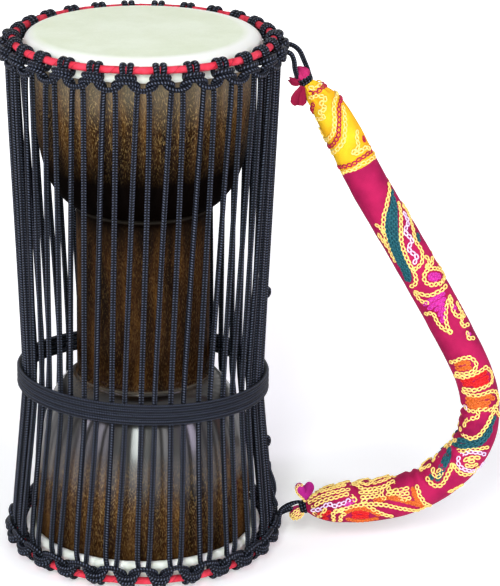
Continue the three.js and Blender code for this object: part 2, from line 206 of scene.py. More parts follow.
def smoothPath(places, spacing, closed=False, longStep=9.0):
    # Catmull-Rom through the places, with longer steps on the long straight runs
    p = np.asarray(places, float)
    if closed:
        p = np.vstack([p[-1], p, p[0], p[1]])
    else:
        p = np.vstack([2 * p[0] - p[1], p, 2 * p[-1] - p[-2]])
    found = []
    for a, b, c, d in zip(p[:-3], p[1:-2], p[2:-1], p[3:]):
        spans = [np.sqrt(np.linalg.norm(q - r)) + 1e-9 for q, r in ((a, b), (b, c), (c, d))]
        t0, t1, t2, t3 = 0.0, *np.cumsum(spans)
        length = np.linalg.norm(c - b)
        count = max(1, round(length / (longStep if length > 30 else spacing)))
        t = (t1 + (t2 - t1) * np.arange(count) / count)[:, None]
        e = (t1 - t) / (t1 - t0) * a + (t - t0) / (t1 - t0) * b
        f = (t2 - t) / (t2 - t1) * b + (t - t1) / (t2 - t1) * c
        g = (t3 - t) / (t3 - t2) * c + (t - t2) / (t3 - t2) * d
        h = (t2 - t) / (t2 - t0) * e + (t - t0) / (t2 - t0) * f
        k = (t3 - t) / (t3 - t1) * f + (t - t1) / (t3 - t1) * g
        found.append((t2 - t) / (t2 - t1) * h + (t - t1) / (t2 - t1) * k)
    if not closed:
        found.append(p[-2][None])
    return np.vstack(found)


def lengthsAlong(path):
    return np.concatenate([[0], np.cumsum(np.linalg.norm(np.diff(path, axis=0), axis=1))])


def framesAlong(path, closed):
    # normals carried along the path without twist
    before = np.roll(path, 1, axis=0)
    after = np.roll(path, -1, axis=0)
    if not closed:
        before[0], after[-1] = path[0], path[-1]
    tangents = after - before
    tangents /= np.linalg.norm(tangents, axis=1)[:, None]
    side = np.array([0, 0, 1.0]) if abs(tangents[0][2]) < 0.7 else np.array([1.0, 0, 0])
    normal = np.cross(side, tangents[0])
    normals = [normal / np.linalg.norm(normal)]
    for tangent in tangents[1:]:
        normal = normals[-1] - tangent * normals[-1].dot(tangent)
        normals.append(normal / np.linalg.norm(normal))
    normals = np.array(normals)
    if closed:
        arrived = normals[-1] - tangents[0] * normals[-1].dot(tangents[0])
        across = np.cross(tangents[0], normals[0])
        twist = math.atan2(arrived.dot(across), arrived.dot(normals[0]))
        angles = -twist * np.arange(len(path)) / len(path)
        normals = normals * np.cos(angles)[:, None] + np.cross(tangents, normals) * np.sin(angles)[:, None]
    return tangents, normals


def gridParts(u, v, closed=False, loop=True, flip=False, sealed=False):
    # quads of a grid of points and the (u, v) of their corners; closed joins the last row to the first, loop the
    # last column to the first, flip turns the quads over, and sealed adds a face at each end
    u, v = np.broadcast_arrays(u, v)
    rows, columns = len(u) - closed, u.shape[1] - loop
    i, j = np.indices((len(u) - 1, u.shape[1] - 1)).reshape(2, -1, 1)
    down, over = np.array([0, 0, 1, 1]), np.array([0, 1, 1, 0])
    i, j = (i + over, j + down) if flip else (i + down, j + over)
    faces = (i % rows * columns + j % columns).tolist()
    corners = np.stack([u[i, j], v[i, j]], -1).reshape(-1, 2).tolist()
    if sealed:
        faces += [list(range(columns))[::-1], [(rows - 1) * columns + k for k in range(columns)]]
        corners += [(0, v[0, 0])] * columns + [(0, v[-1, 0])] * columns
    return faces, corners


def joinParts(parts):
    # several (points, faces, corners) as one
    points, faces, corners = [], [], []
    start = 0
    for p, f, c in parts:
        points.append(p.reshape(-1, 3))
        faces += [[k + start for k in face] for face in f]
        corners += c
        start += len(points[-1])
    return np.vstack(points), faces, corners


def tubeParts(path, radius, sides, closed):
    # points, faces and corner coordinates of one tube; u goes round it, v along it in turns of its girth
    tangents, normals = framesAlong(path, closed)
    across = np.cross(tangents, normals)
    radii = np.broadcast_to(np.asarray(radius, float), (len(path),)).copy()
    along = lengthsAlong(np.vstack([path, path[:1]]) if closed else path)
    if not closed:      # rounded, sealed ends
        near = np.minimum(along, along[-1] - along)
        radii *= np.sqrt(np.clip(1 - np.clip(1 - near / radii, 0, 0.97) ** 2, 0, 1))
    angles = 2 * math.pi * np.arange(sides) / sides
    points = path[:, None] + radii[:, None, None] * (np.cos(angles)[None, :, None] * normals[:, None]
                                                     + np.sin(angles)[None, :, None] * across[:, None])
    girth = 2 * math.pi * float(np.max(radii))
    return points.reshape(-1, 3), *gridParts(np.arange(sides + 1)[None] / sides, along[:, None] / girth, closed,
                                             sealed=not closed)


def makeTubes(name, routes, radius, sides, material, stitches=1.0):
    # routes is a list of (path, closed); stitches makes the braid finer
    points, faces, corners = joinParts(tubeParts(path, radius, sides, closed) for path, closed in routes)
    return makeObject(name, points, faces, np.array(corners) * (1, stitches), [material])


def makeLathe(name, profile, segments, material, shift=None, height=0.0):
    # closed profile of (radius, height) turned round Z; u goes round, v along the profile
    profile = np.asarray(profile, float)
    azimuths = 2 * math.pi * np.arange(segments)[:, None] / segments
    along = lengthsAlong(np.vstack([profile, profile[:1]]))
    radius, z = (np.repeat(profile[:, n][None], segments, 0) for n in (0, 1))
    if shift:
        outwards, upwards = shift(azimuths, along[None, :-1], radius, z)
        radius, z = radius + outwards, z + upwards
    points = np.stack([radius * np.sin(azimuths), -radius * np.cos(azimuths), z + height], -1)
    parts = gridParts(np.arange(segments + 1)[:, None] / segments, along[None], True, flip=True)
    return makeObject(name, points, *parts, [material])


def waves(values, seeds, power=1.0):
    # sum of a few sines with fixed odd phases, about -1 to 1
    total = 0
    for n, (rate, phase) in enumerate(seeds):
        total = total + np.sin(values * rate + phase) / (1 + n) ** power
    return total / sum(1 / (1 + n) ** power for n in range(len(seeds)))


def unit(vectors):
    vectors = np.asarray(vectors, float)
    return vectors / np.linalg.norm(vectors, axis=-1)[..., None]


# Matt white studio floor: white in the camera's eye, with the object's soft shadow on it
floorPaint, tree, shader, place = newMaterial("matt_studio_floor", {
    "Roughness": 0.9, "Specular IOR Level": 0.0, "Emission Color": "#FFFFFF"})
cloud = addNode(tree, "TexNoise", {"Scale": 3.0, "Detail": 2.0, "Vector": place})
tone = addNode(tree, "ValToRGB", {"stops": [(0.3, "#F8F8F7"), (0.7, "#FAFAF9")], "Fac": cloud})
farOff = addNode(tree, "VectorMath", {"operation": "LENGTH", 0: place})
glow = addNode(tree, "MapRange", {
    "From Min": 0.1, "From Max": 1.3, "To Min": studio["floorNear"], "To Max": studio["floorFar"],
    "Value": farOff.outputs["Value"]})
strength = addNode(tree, "Math", {"operation": "MULTIPLY", 0: glow, 1: seenDirectly(tree)})
feed(shader, {"Base Color": tone, "Emission Strength": strength})
floorTurns = [2 * math.pi * i / studio["floorSteps"] for i in range(studio["floorSteps"])]
floorPoints = [(0, 0, 0)] + [(studio["floorRadius"] * math.cos(a), studio["floorRadius"] * math.sin(a), 0)
                             for a in floorTurns]
floorFaces = [(0, i + 1, (i + 1) % studio["floorSteps"] + 1) for i in range(studio["floorSteps"])]
floor = makeObject("studio_floor", floorPoints, floorFaces, [(0, 0)] * 3 * studio["floorSteps"], [floorPaint])

# Sizes shared by the drum's pieces, mm
drum = {
    "ringSpan": 402.0, "headRise": 7.5, "knots": 26,
    "rimRadius": 84.8, "neckRadius": 51.6, "neckWall": 11.0, "bowlWall": 7.0,
    "neckTop": 72.7, "neckBottom": 65.9, "beadWidth": 3.6, "beadRise": 1.2,
    "skin": 0.9, "gap": 0.3, "edgeRounding": 4.8, "edgeFlat": 2.4,
    "hoopRadius": 88.9, "hoopWire": 2.6, "hoopDrop": 8.0, "shoulderDrop": 8.6,
    "sink": {1: 2.0, -1: 0.0}, "faceRadius": 78.5,     # the upper head is pulled further down than the lower one
    "ringRadius": 97.7, "clothRadius": 2.85, "ropeRadius": 1.9,
}
drumHeight = drum["ringSpan"] + 2 * drum["headRise"]
middleZ = drum["headRise"] + drum["ringSpan"] / 2
ringZ = {1: drum["headRise"] + drum["ringSpan"], -1: drum["headRise"]}
knotStep = 2 * math.pi / drum["knots"]
ends = ((1, "top"), (-1, "bottom"))


def around(azimuth, radius, z):
    return np.array([radius * math.sin(azimuth), -radius * math.cos(azimuth), z])


# Shell. Stops are (share of the drum's height from the lower head up, grey of the effect there).
wood = {
    "black": "#070403", "dark": "#1C0F07", "brown": "#412812", "gold": "#6E4A22",
    # the sealed colour is painted sheen near the upper rim, and the pale bead colour is a painted highlight
    "pale": "#A88A56", "beadHighlight": "#E4DAC2", "sealed": "#827965",
    "speckWidth": 0.78, "speckLength": 2.5,     # mm, coarser than real pores so that they show
    "bandWidth": 11.0, "bandLength": 130.0,
    "speckStops": [(0.03, "#A4A4A4"), (0.2, "#FFFFFF"), (0.33, "#FFFFFF"), (0.36, "#868686"), (0.66, "#868686"),
                   (0.7, "#FFFFFF")],
    # darker towards the necks of the bowls and near black beside them: partly the stain, partly painted shade under the
    # upper bowl and under the belt
    "stainAndShadeStops": [(0.03, "#B0B0B0"), (0.15, "#DADADA"), (0.2, "#A0A0A0"), (0.245, "#141414"), (0.335, "#060606"),
                   (0.352, "#B8B8B8"), (0.60, "#CCCCCC"), (0.665, "#303030"), (0.68, "#000000"), (0.755, "#040404"),
                   (0.84, "#BCBCBC"), (0.92, "#FFFFFF")],
    # where the painted sheen lies, towards the upper rim
    "paintedSheenStops": [(0.86, "#000000"), (0.95, "#C8C8C8"), (1.0, "#E0E0E0")],
    # painted highlight: a pale line on the crest of each bead, fainter on the upper one
    "beadStops": [(0.3436, "#000000"), (0.3445, "#FFFFFF"), (0.3453, "#FFFFFF"), (0.3463, "#000000"),
                  (0.668, "#000000"), (0.67, "#A0A0A0"), (0.672, "#000000")],
    # lacquer lies thick on the lower bowl, thinner towards the upper rim and thinnest where it ran off
    "glossStops": [(0.0, "#303030"), (0.13, "#606060"), (0.19, "#F4F4F4"), (0.33, "#FFFFFF"), (0.35, "#404040"),
                   (0.64, "#3C3C3C"), (0.69, "#1C1C1C"), (0.76, "#242424"), (0.86, "#585858"), (0.95, "#6C6C6C")],
}
# Turned hardwood, stained dark and lacquered: short golden specks along the grain under a deep gloss, black towards the
# necks of the bowls from the stain and from painted shade, a grey-brown painted sheen near the upper rim, and a pale
# painted highlight on the thin beads.
lacqueredWood, tree, shader, place = newMaterial("stained_lacquered_hardwood", {
    "Roughness": 0.34, "IOR": 1.5, "Coat Roughness": 0.18, "Coat IOR": 1.5})
split = addNode(tree, "SeparateXYZ", {0: place})
upShell = addNode(tree, "Math", {"operation": "DIVIDE", 0: split.outputs["Z"], 1: drumHeight * mm})
drift = addNode(tree, "TexNoise", {"Scale": 14.0, "Detail": 2.0, "Vector": place})
bent = addNode(tree, "MixRGB", {"blend_type": "ADD", "Fac": 0.02, "Color1": place, "Color2": drift.outputs["Color"]})
grain = {}
for name, rough in (("speck", 0.6), ("band", 0.5)):
    width, length = wood[name + "Width"], wood[name + "Length"]
    stretched = addNode(tree, "Mapping", {"Scale": (1, 1, width / length), "Vector": bent})
    grain[name] = addNode(tree, "TexNoise", {
        "Scale": 1 / (width * mm), "Detail": 3.0, "Roughness": rough, "Vector": stretched})
bandTone = addNode(tree, "ValToRGB", {
    "stops": [(0.34, wood["dark"]), (0.5, wood["brown"]), (0.68, wood["gold"])], "Fac": grain["band"]})
speckShare = addNode(tree, "MapRange", {
    "From Min": 0.53, "From Max": 0.65, "To Min": 0.0, "To Max": 0.95, "Value": grain["speck"]})
speckLevel = addNode(tree, "ValToRGB", {"stops": wood["speckStops"], "Fac": upShell})
speckDepth = addNode(tree, "Math", {"operation": "MULTIPLY", 0: speckShare, 1: speckLevel})
poreShare = addNode(tree, "MapRange", {
    "From Min": 0.46, "From Max": 0.36, "To Min": 0.0, "To Max": 0.85, "Value": grain["speck"]})
cloud = addNode(tree, "Math", {"operation": "MULTIPLY_ADD", 0: drift, 1: 0.07, 2: -0.035})
upCloudy = addNode(tree, "Math", {"operation": "ADD", 0: upShell, 1: cloud})
# darkening by height: the stain, with painted shade towards the necks
stainAndShadeDepth = addNode(tree, "ValToRGB", {"stops": wood["stainAndShadeStops"], "Fac": upCloudy})
paintedSheenShare = addNode(tree, "ValToRGB", {"stops": wood["paintedSheenStops"], "Fac": upCloudy})
beadShare = addNode(tree, "ValToRGB", {"stops": wood["beadStops"], "Fac": upShell})
specked = addNode(tree, "MixRGB", {"Fac": speckDepth, "Color1": bandTone, "Color2": wood["pale"]})
pored = addNode(tree, "MixRGB", {"Fac": poreShare, "Color1": specked, "Color2": wood["dark"]})
# painted sheen near the upper rim, in the sealed colour
sealed = addNode(tree, "MixRGB", {"Fac": paintedSheenShare, "Color1": pored, "Color2": wood["sealed"]})
stainedAndShaded = addNode(tree, "MixRGB", {"Fac": stainAndShadeDepth, "Color1": wood["black"], "Color2": sealed})
# painted highlight on the beads
woodTone = addNode(tree, "MixRGB", {"Fac": beadShare, "Color1": stainedAndShaded, "Color2": wood["beadHighlight"]})
gloss = addNode(tree, "ValToRGB", {"stops": wood["glossStops"], "Fac": upShell})
sheen = addNode(tree, "MapRange", {"From Min": 0.45, "From Max": 0.95, "To Min": 0.0, "To Max": 0.3, "Value": gloss})
woodBump, lacquerBump = (addNode(tree, "Bump", {"Strength": depth, "Distance": 0.0003, "Height": grain["speck"]})
                         for depth in (0.1, 0.06))
feed(shader, {"Base Color": woodTone, "Coat Weight": gloss, "Specular IOR Level": sheen, "Normal": woodBump,
              "Coat Normal": lacquerBump})

bowlShares = [(0, 0), (0.025, 0.2), (0.075, 0.4), (0.15, 0.6), (0.26, 0.75), (0.4, 0.86), (0.6, 0.955), (0.85, 1)]
boreShares = [(0, 0), (0.06, 0.2), (0.17, 0.5), (0.34, 0.78), (0.6, 0.96), (0.85, 1)]


def crestHeight(end):
    return drum["ringSpan"] / 2 + drum["headRise"] - drum["sink"][end] - drum["skin"] - drum["gap"]


def bowlSide(neckLength, end):
    # outside from the neck to the rim, then the bore's side, as (radius, distance from the middle)
    crest = crestHeight(end)
    depth = crest - neckLength
    foot = drum["neckRadius"] + drum["beadRise"] / 2
    swell = drum["rimRadius"] - foot
    outside = smoothPath([(foot + swell * s, neckLength + depth * r, 0) for r, s in bowlShares], 3.5)[:, :2]
    bead = [(drum["neckRadius"], neckLength - drum["beadWidth"])]
    for angle in (math.pi * i / 6 for i in range(7)):
        bead.append((drum["neckRadius"] + 0.15 + drum["beadRise"] * math.sin(angle),
                     neckLength - drum["beadWidth"] / 2 - drum["beadWidth"] / 2 * math.cos(angle)))
    edge = [(drum["rimRadius"] - drum["edgeRounding"] * (1 - math.cos(a)),
             crest - drum["edgeRounding"] * (1 - math.sin(a))) for a in (math.pi / 2 * i / 6 for i in range(7))]
    bore = drum["neckRadius"] - drum["neckWall"]
    bowl = drum["rimRadius"] - drum["bowlWall"]
    inside = smoothPath([(bore + (bowl - bore) * s, neckLength + depth * r, 0) for r, s in boreShares], 8)[:, :2]
    return bead + outside.tolist()[1:] + edge, inside.tolist()


upperOutside, upperInside = bowlSide(drum["neckTop"], 1)
lowerOutside, lowerInside = bowlSide(drum["neckBottom"], -1)
crestInside = drum["rimRadius"] - drum["edgeRounding"] - drum["edgeFlat"]
neckRun = [(drum["neckRadius"], z) for z in np.linspace(-drum["neckBottom"] + 8, drum["neckTop"] - 8, 16)]
shellProfile = ([(r, -z) for r, z in lowerOutside[::-1]] + neckRun + upperOutside
                + [(crestInside, crestHeight(1))] + upperInside[::-1] + [(r, -z) for r, z in lowerInside]
                + [(crestInside, -crestHeight(-1))])
shell = makeLathe("turned_shell", shellProfile, 208, lacqueredWood, height=middleZ)
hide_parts("shell")
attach(shell, "drum")
print("shell made")

# Heads
skinLook = {
    # shoulder is a whiter tone painted as light on the shoulder over the hoop and on the collar under it
    "face": "#E1EBCD", "cloud": "#D6E1BD", "shoulder": "#F3F5EA", "vein": "#C9CDB4", "creases": 78,
    "slope": 40.0,     # the painted light at the edge reaches further in on the strap's side: mm for each metre across
    # the painted light on the shoulder runs from and to these distances along the profile, mm
    "paintedLightFrom": 76.5, "paintedLightTo": 84.0,
}
# Goatskin, scraped and dried tight: pale and faintly mottled, and finely creased where it is drawn over the hoop;
# painted light makes it whiter there.
goatskin, tree, shader, place = newMaterial("dried_goatskin", {
    "Roughness": 0.48, "IOR": 1.45, "Specular IOR Level": 0.4, "Subsurface Weight": 0.08,
    "Subsurface Radius": (0.002, 0.0015, 0.001), "Subsurface Scale": 1.0})
mottle = addNode(tree, "TexNoise", {"Scale": 26.0, "Detail": 5.0, "Roughness": 0.6, "Vector": place})
mottleTone = addNode(tree, "ValToRGB", {
    "stops": [(0.36, skinLook["cloud"]), (0.62, skinLook["face"])], "Fac": mottle})
pores = addNode(tree, "TexVoronoi", {"Scale": 620.0, "Vector": place})
poreTone = addNode(tree, "MapRange", {
    "From Min": 0.0, "From Max": 0.55, "To Min": 0.24, "To Max": 0.0, "Value": pores})
pored = addNode(tree, "MixRGB", {"Fac": poreTone, "Color1": mottleTone, "Color2": skinLook["vein"]})
sheet = addNode(tree, "UVMap", {"uv_map": "UVMap"})
alongSkin = addNode(tree, "SeparateXYZ", {0: sheet})
across = addNode(tree, "SeparateXYZ", {0: place})
# painted light: whiter over the hoop, reaching further in on the strap's side
paintedLightReach = addNode(tree, "Math", {
    "operation": "MULTIPLY_ADD", 0: across.outputs["X"], 1: skinLook["slope"], 2: alongSkin.outputs["Y"]})
paintedLightShare = addNode(tree, "MapRange", {
    "From Min": skinLook["paintedLightFrom"], "From Max": skinLook["paintedLightTo"], "Value": paintedLightReach})
skinTone = addNode(tree, "MixRGB", {"Fac": paintedLightShare, "Color1": pored, "Color2": skinLook["shoulder"]})
skinGrain = addNode(tree, "TexNoise", {"Scale": 900.0, "Detail": 3.0, "Vector": place})
skinBump = addNode(tree, "Bump", {"Strength": 0.22, "Distance": 0.0003, "Height": skinGrain})
feed(shader, {"Base Color": skinTone, "Normal": skinBump})


def headProfile(sink):
    # closed outline of the skin, height above the crown ring's plane: outer side out and round the hoop, inner side
    # back
    half = drum["skin"] / 2
    face = drum["headRise"] - sink - half
    flat = drum["faceRadius"]
    middle = [(r, face) for r in (0.01, 0.2, 0.6, 3, 20, 40, 55, 66, 73, 76.5)]
    for angle in (math.pi / 2 * i / 12 for i in range(13)):
        middle.append((flat + (drum["hoopRadius"] - flat) * math.sin(angle),
                       face - (drum["shoulderDrop"] - sink) * (1 - math.cos(angle))))
    fold = drum["hoopWire"] + drum["gap"] + half
    for angle in (math.radians(45 - 225 * i / 14) for i in range(15)):
        middle.append((drum["hoopRadius"] + fold * math.cos(angle), -drum["hoopDrop"] + fold * math.sin(angle)))
    middle = np.array(middle)
    slope = unit(np.gradient(middle, axis=0))
    across = np.stack([-slope[:, 1], slope[:, 0]], 1) * half
    return np.vstack([middle + across, (middle - across)[::-1]])


def skinCreases(azimuth, along, radius, z):
    # gathers of the skin below the shoulder, and a face that sinks a little unevenly
    below = np.clip((along - 88) / 8, 0, 1) * np.clip((125 - along) / 10, 0, 1)
    gathers = waves(azimuth, [(skinLook["creases"], 0.4), (skinLook["creases"] + 19, 2.1), (31, 1.2)]) * 0.22
    sunk = (waves(azimuth, [(3, 0.3), (5, 1.7), (7, 2.9)]) - 1) * 0.16 * np.clip(radius / 80, 0, 1) * (radius < 77.5)
    return gathers * below, sunk * np.sign(z) + 0 * along


for end, name in ends:
    profile = headProfile(drum["sink"][end]) * (1, end)
    head = makeLathe(f"goatskin_head_{name}", profile, 312, goatskin, shift=skinCreases, height=ringZ[end])
    if end < 0:
        head.data.flip_normals()
    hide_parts(f"head_{name}")
    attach(head, "drum")
print("heads made")


def wovenCloth(name, light, deep, look):
    # colour drifting from deep to light under a plain weave; threads are counted for each unit of the cloth's map
    material, tree, shader, place = newMaterial(name, {
        "Roughness": look["roughness"], "IOR": 1.5, "Specular IOR Level": look["gloss"], "Sheen Weight": 0.12,
        "Sheen Roughness": look["fuzz"], "Sheen Tint": look.get("tint", light)})
    sheet = addNode(tree, "UVMap", {"uv_map": "UVMap"})
    scaled = addNode(tree, "Mapping", {
        "Scale": (look["threads"], look["threads"], 1), "Rotation": (0, 0, look["turn"]), "Vector": sheet})
    weave = addNode(tree, "TexBrick", {
        "Scale": 1.0, "Mortar Size": look["groove"], "Brick Width": 1.0, "Row Height": 1.0, "Color1": "#FFFFFF",
        "Color2": look["second"], "Mortar": look["shade"], "Vector": scaled})
    cloud = addNode(tree, "TexNoise", {"Scale": look["cloud"], "Detail": look["detail"], "Vector": place})
    tone = addNode(tree, "ValToRGB", {"stops": [(look["low"], deep), (look["high"], light)], "Fac": cloud})
    woven = addNode(tree, "MixRGB", {
        "blend_type": "MULTIPLY", "Fac": look["depth"], "Color1": tone, "Color2": weave})
    bump = addNode(tree, "Bump", {"Strength": look["bump"], "Distance": 0.0003, "Height": weave})
    feed(shader, {"Base Color": woven, "Normal": bump})
    return material, tree, shader, sheet, woven


# Red cloth round the crown rings
ringCloth = {
    "red": "#F4485C", "deep": "#E02B40", "thread": 0.8, "lapWidth": 15.0,     # threads drawn 0.8 mm apart so they show
    "roughness": 0.82, "gloss": 0.15, "fuzz": 0.5, "tint": "#F08890", "turn": 0.5, "groove": 0.16, "second": "#D8D8D8",
    "shade": "#6A6A6A", "cloud": 160.0, "detail": 3.0, "low": 0.3, "high": 0.62, "depth": 0.28, "bump": 0.5,
    # painted shade darkening the edge of each lap
    "lapShadeStops": [(0.0, "#8A8A8A"), (0.05, "#E0E0E0"), (0.16, "#FFFFFF"), (0.98, "#FFFFFF")],
}
ringCloth["threads"] = 2 * math.pi * drum["clothRadius"] / ringCloth["thread"]
# Cotton strip wound on at a slant: bright red, matt, with a soft painted shade along the edge of each lap and a plain
# weave
redCotton, tree, shader, sheet, woven = wovenCloth("red_cotton_strip", ringCloth["red"], ringCloth["deep"], ringCloth)
cut = addNode(tree, "SeparateXYZ", {0: sheet})
laps = round(2 * math.pi * drum["ringRadius"] / ringCloth["lapWidth"])
lapRate = addNode(tree, "Math", {
    "operation": "MULTIPLY_ADD", 0: cut.outputs["Y"], 1: laps * drum["clothRadius"] / drum["ringRadius"],
    2: cut.outputs["X"]})
lap = addNode(tree, "Math", {"operation": "FRACT", 0: lapRate})
# painted shade along the edge of each lap
lapShade = addNode(tree, "ValToRGB", {"stops": ringCloth["lapShadeStops"], "Fac": lap})
lapped = addNode(tree, "MixRGB", {"blend_type": "MULTIPLY", "Fac": 0.9, "Color1": woven, "Color2": lapShade})
feed(shader, {"Base Color": lapped})

for end, name in ends:
    count, sides = 520, 18
    ring = np.array([around(2 * math.pi * i / count, drum["ringRadius"], ringZ[end]) for i in range(count)])
    points, faces, corners = tubeParts(ring, drum["clothRadius"], sides, True)
    turnShare = (np.arange(count)[:, None] / count * laps + np.arange(sides)[None] / sides) % 1
    swell = 1 + 0.1 * turnShare ** 3 - 0.04 + 0.025 * waves(np.arange(count)[:, None] * 0.21, [(1, 0.5), (1.7, 2.2)])
    grid = ring[:, None] + (points.reshape(count, sides, 3) - ring[:, None]) * swell[..., None]
    cloth = makeObject(f"red_cloth_{name}", grid, faces, corners, [redCotton])
    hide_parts(f"ring_wrap_{name}")
    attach(cloth, "drum")
print("ring cloths made")

# Rope
rope = {
    # deep is painted shade in the braid's grooves, and glint is a painted highlight on the stitches' crests
    "radius": 2.03, "deep": "#030306", "strand": "#10131A", "glint": "#585F70", "dust": "#3B3E4A",
    "stitchLength": 2.1, "columns": 4,      # braid stitches in mm, drawn a little coarser than they are to show
    "sides": 12, "spacing": 1.5,
}
# Polyester rope braided over a core: slate black, matt, with a herringbone of slanted stitches: painted shade in the
# grooves between them, and a painted glint where they catch the light
braidedRope, tree, shader, place = newMaterial("black_braided_polyester", {
    "Roughness": 0.5, "IOR": 1.5, "Specular IOR Level": 0.07})
sheet = addNode(tree, "UVMap", {"uv_map": "UVMap"})
cut = addNode(tree, "SeparateXYZ", {0: sheet})
columns = addNode(tree, "Math", {"operation": "MULTIPLY", 0: cut.outputs["X"], 1: float(rope["columns"])})
zigzag = addNode(tree, "Math", {"operation": "PINGPONG", 0: columns, 1: 1.0})
girthStitches = 2 * math.pi * rope["radius"] / rope["stitchLength"]
rows = addNode(tree, "Math", {"operation": "MULTIPLY", 0: cut.outputs["Y"], 1: girthStitches})
slant = addNode(tree, "Math", {"operation": "MULTIPLY_ADD", 0: zigzag, 1: 0.5, 2: rows})
arches = []
for source in (slant, zigzag):
    phase = addNode(tree, "Math", {"operation": "MULTIPLY", 0: source, 1: math.pi})
    arches.append(addNode(tree, "Math", {"operation": "SINE", 0: phase}))
ridge = addNode(tree, "Math", {"operation": "ABSOLUTE", 0: arches[0]})
crown = addNode(tree, "Math", {"operation": "MULTIPLY_ADD", 0: arches[1], 1: 0.45, 2: 0.55})
braid = addNode(tree, "Math", {"operation": "MULTIPLY", 0: ridge, 1: crown})
# painted shade in the grooves, painted glint on the crests
ropeTone = addNode(tree, "ValToRGB", {
    "stops": [(0.42, rope["deep"]), (0.74, rope["strand"]), (1.0, rope["glint"])], "Fac": braid})
dust = addNode(tree, "TexNoise", {"Scale": 90.0, "Detail": 3.0, "Vector": place})
dustShare = addNode(tree, "MapRange", {
    "From Min": 0.35, "From Max": 0.75, "To Min": 0.0, "To Max": 0.08, "Value": dust})
dusty = addNode(tree, "MixRGB", {"Fac": dustShare, "Color1": ropeTone, "Color2": rope["dust"]})
ropeBump = addNode(tree, "Bump", {"Strength": 0.8, "Distance": 0.0005, "Height": braid})
feed(shader, {"Base Color": dusty, "Normal": ropeBump})


def atKnot(k, end, along, out, away):
    azimuth = (k + 0.5) * knotStep + along / drum["ringRadius"]
    return around(azimuth, drum["ringRadius"] + out, ringZ[end] - end * away)


# One knot of the cradle rope, half of it, as mm [along the ring, out from it, away from the head]: swag, up the front
# of the ring, over it and down its back, out below and across the front of its own legs.
swagHalf = [(11.84, 8.3, 13.0), (8.0, 8.4, 12.4), (5.0, 7.6, 11.2), (2.9, 6.0, 8.6), (2.1, 5.0, 4.5)]
loopReach = 5.0
loopHalf = [(along, loopReach * math.cos(math.radians(a)), -loopReach * math.sin(math.radians(a)))
            for along, a in ((2.4, -15), (2.7, 20), (2.8, 60), (2.8, 100), (2.8, 140), (2.8, 180))]
barHalf = [(3.3, -4.2, 3.1), (4.4, -1.9, 5.8), (5.4, 1.2, 6.4), (5.6, 6.8, 3.6), (3.6, 9.2, 2.5)]
barMiddle = (0, 9.9, 2.1)
# Tension rope at one knot: from the drum's side up behind the swag and over the knot's front
archHalf = [(7.6, 4.0, 18.5), (8.2, 3.7, 12.8), (8.0, 6.6, 8.8), (4.2, 9.6, 6.4)]
archMiddle = (0, 10.4, 6.0)
pressed = {"from": 2.5, "over": 3.0, "reach": 7.8, "middle": 2.8, "wider": 0.16, "flatter": 0.3}     # mm and shares


def wholeKnot(k, end, half, middle):
    left = [atKnot(k, end, -s, o, a) for s, o, a in half]
    far = [atKnot(k, end, s, o, a) for s, o, a in half[::-1]]
    return left + [atKnot(k, end, *middle)] + far


def pressLoops(piece, end):
    # the rope lies flat and wide where it is pulled tight over the ring
    points = np.empty(len(piece.data.vertices) * 3)
    piece.data.vertices.foreach_get("co", points)
    points = points.reshape(-1, 3) / mm
    azimuth = np.arctan2(points[:, 0], -points[:, 1])
    out = np.hypot(points[:, 0], points[:, 1]) - drum["ringRadius"]
    away = end * (ringZ[end] - points[:, 2])
    reach = np.hypot(out, away)
    share = np.clip((pressed["from"] - away) / pressed["over"], 0, 1) * (reach < pressed["reach"])
    along = ((azimuth / knotStep - 0.5 + 0.5) % 1 - 0.5) * knotStep
    widened = azimuth + (along - pressed["middle"] / drum["ringRadius"] * np.sign(along)) * pressed["wider"] * share
    flat = drum["clothRadius"] + (reach - drum["clothRadius"]) * (1 - pressed["flatter"] * share)
    scale = np.where(share > 0, flat / np.maximum(reach, 1e-6), 1)
    radius = drum["ringRadius"] + out * scale
    points = np.stack([radius * np.sin(widened), -radius * np.cos(widened), ringZ[end] - end * away * scale], -1)
    piece.data.vertices.foreach_set("co", (points * mm).ravel())
    piece.data.update()


for end, name in ends:
    route = []
    for k in range(drum["knots"]):
        route += wholeKnot(k, end, swagHalf[1:] + loopHalf + barHalf, barMiddle)
        route.append(atKnot(k, end, *swagHalf[0]))
    cradle = makeTubes(f"cradle_{name}", [(smoothPath(route, rope["spacing"], True), True)], rope["radius"],
                       rope["sides"], braidedRope)
    pressLoops(cradle, end)
    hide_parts(f"cradle_rope_{name}")
    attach(cradle, "drum")
print("cradle ropes made")

belt = {
    "drop": 68.54, "sideRise": 3.6, "frontRise": 3.4, "waistRadius": 92.6, "turns": 4, "pitch": 4.1, "radius": 96.5,
    "perTurn": 60,
    "ropeRadius": 1.93, "stitches": 1.5,     # pulled tight, so thinner and finer in the braid
}
beltHalf = (belt["turns"] * belt["pitch"] + 2 * drum["ropeRadius"]) / 2


def beltMiddle(azimuth):
    return middleZ - belt["drop"] - belt["sideRise"] * math.sin(azimuth) + belt["frontRise"] * math.cos(azimuth)


def waistPlaces(knotPlace, farPlace, end):
    # where a strand meets the belt's edge and its middle, on its way to the other ring
    share = (knotPlace[2] - middleZ + belt["drop"]) / (knotPlace[2] - farPlace[2])
    start = math.atan2(knotPlace[0], -knotPlace[1])
    swing = math.atan2(farPlace[0], -farPlace[1]) - start
    swing -= 2 * math.pi * round(swing / (2 * math.pi))
    azimuth = start + swing * share
    middle = beltMiddle(azimuth)
    return [around(azimuth, belt["waistRadius"], z) for z in (middle + end * beltHalf, middle)]


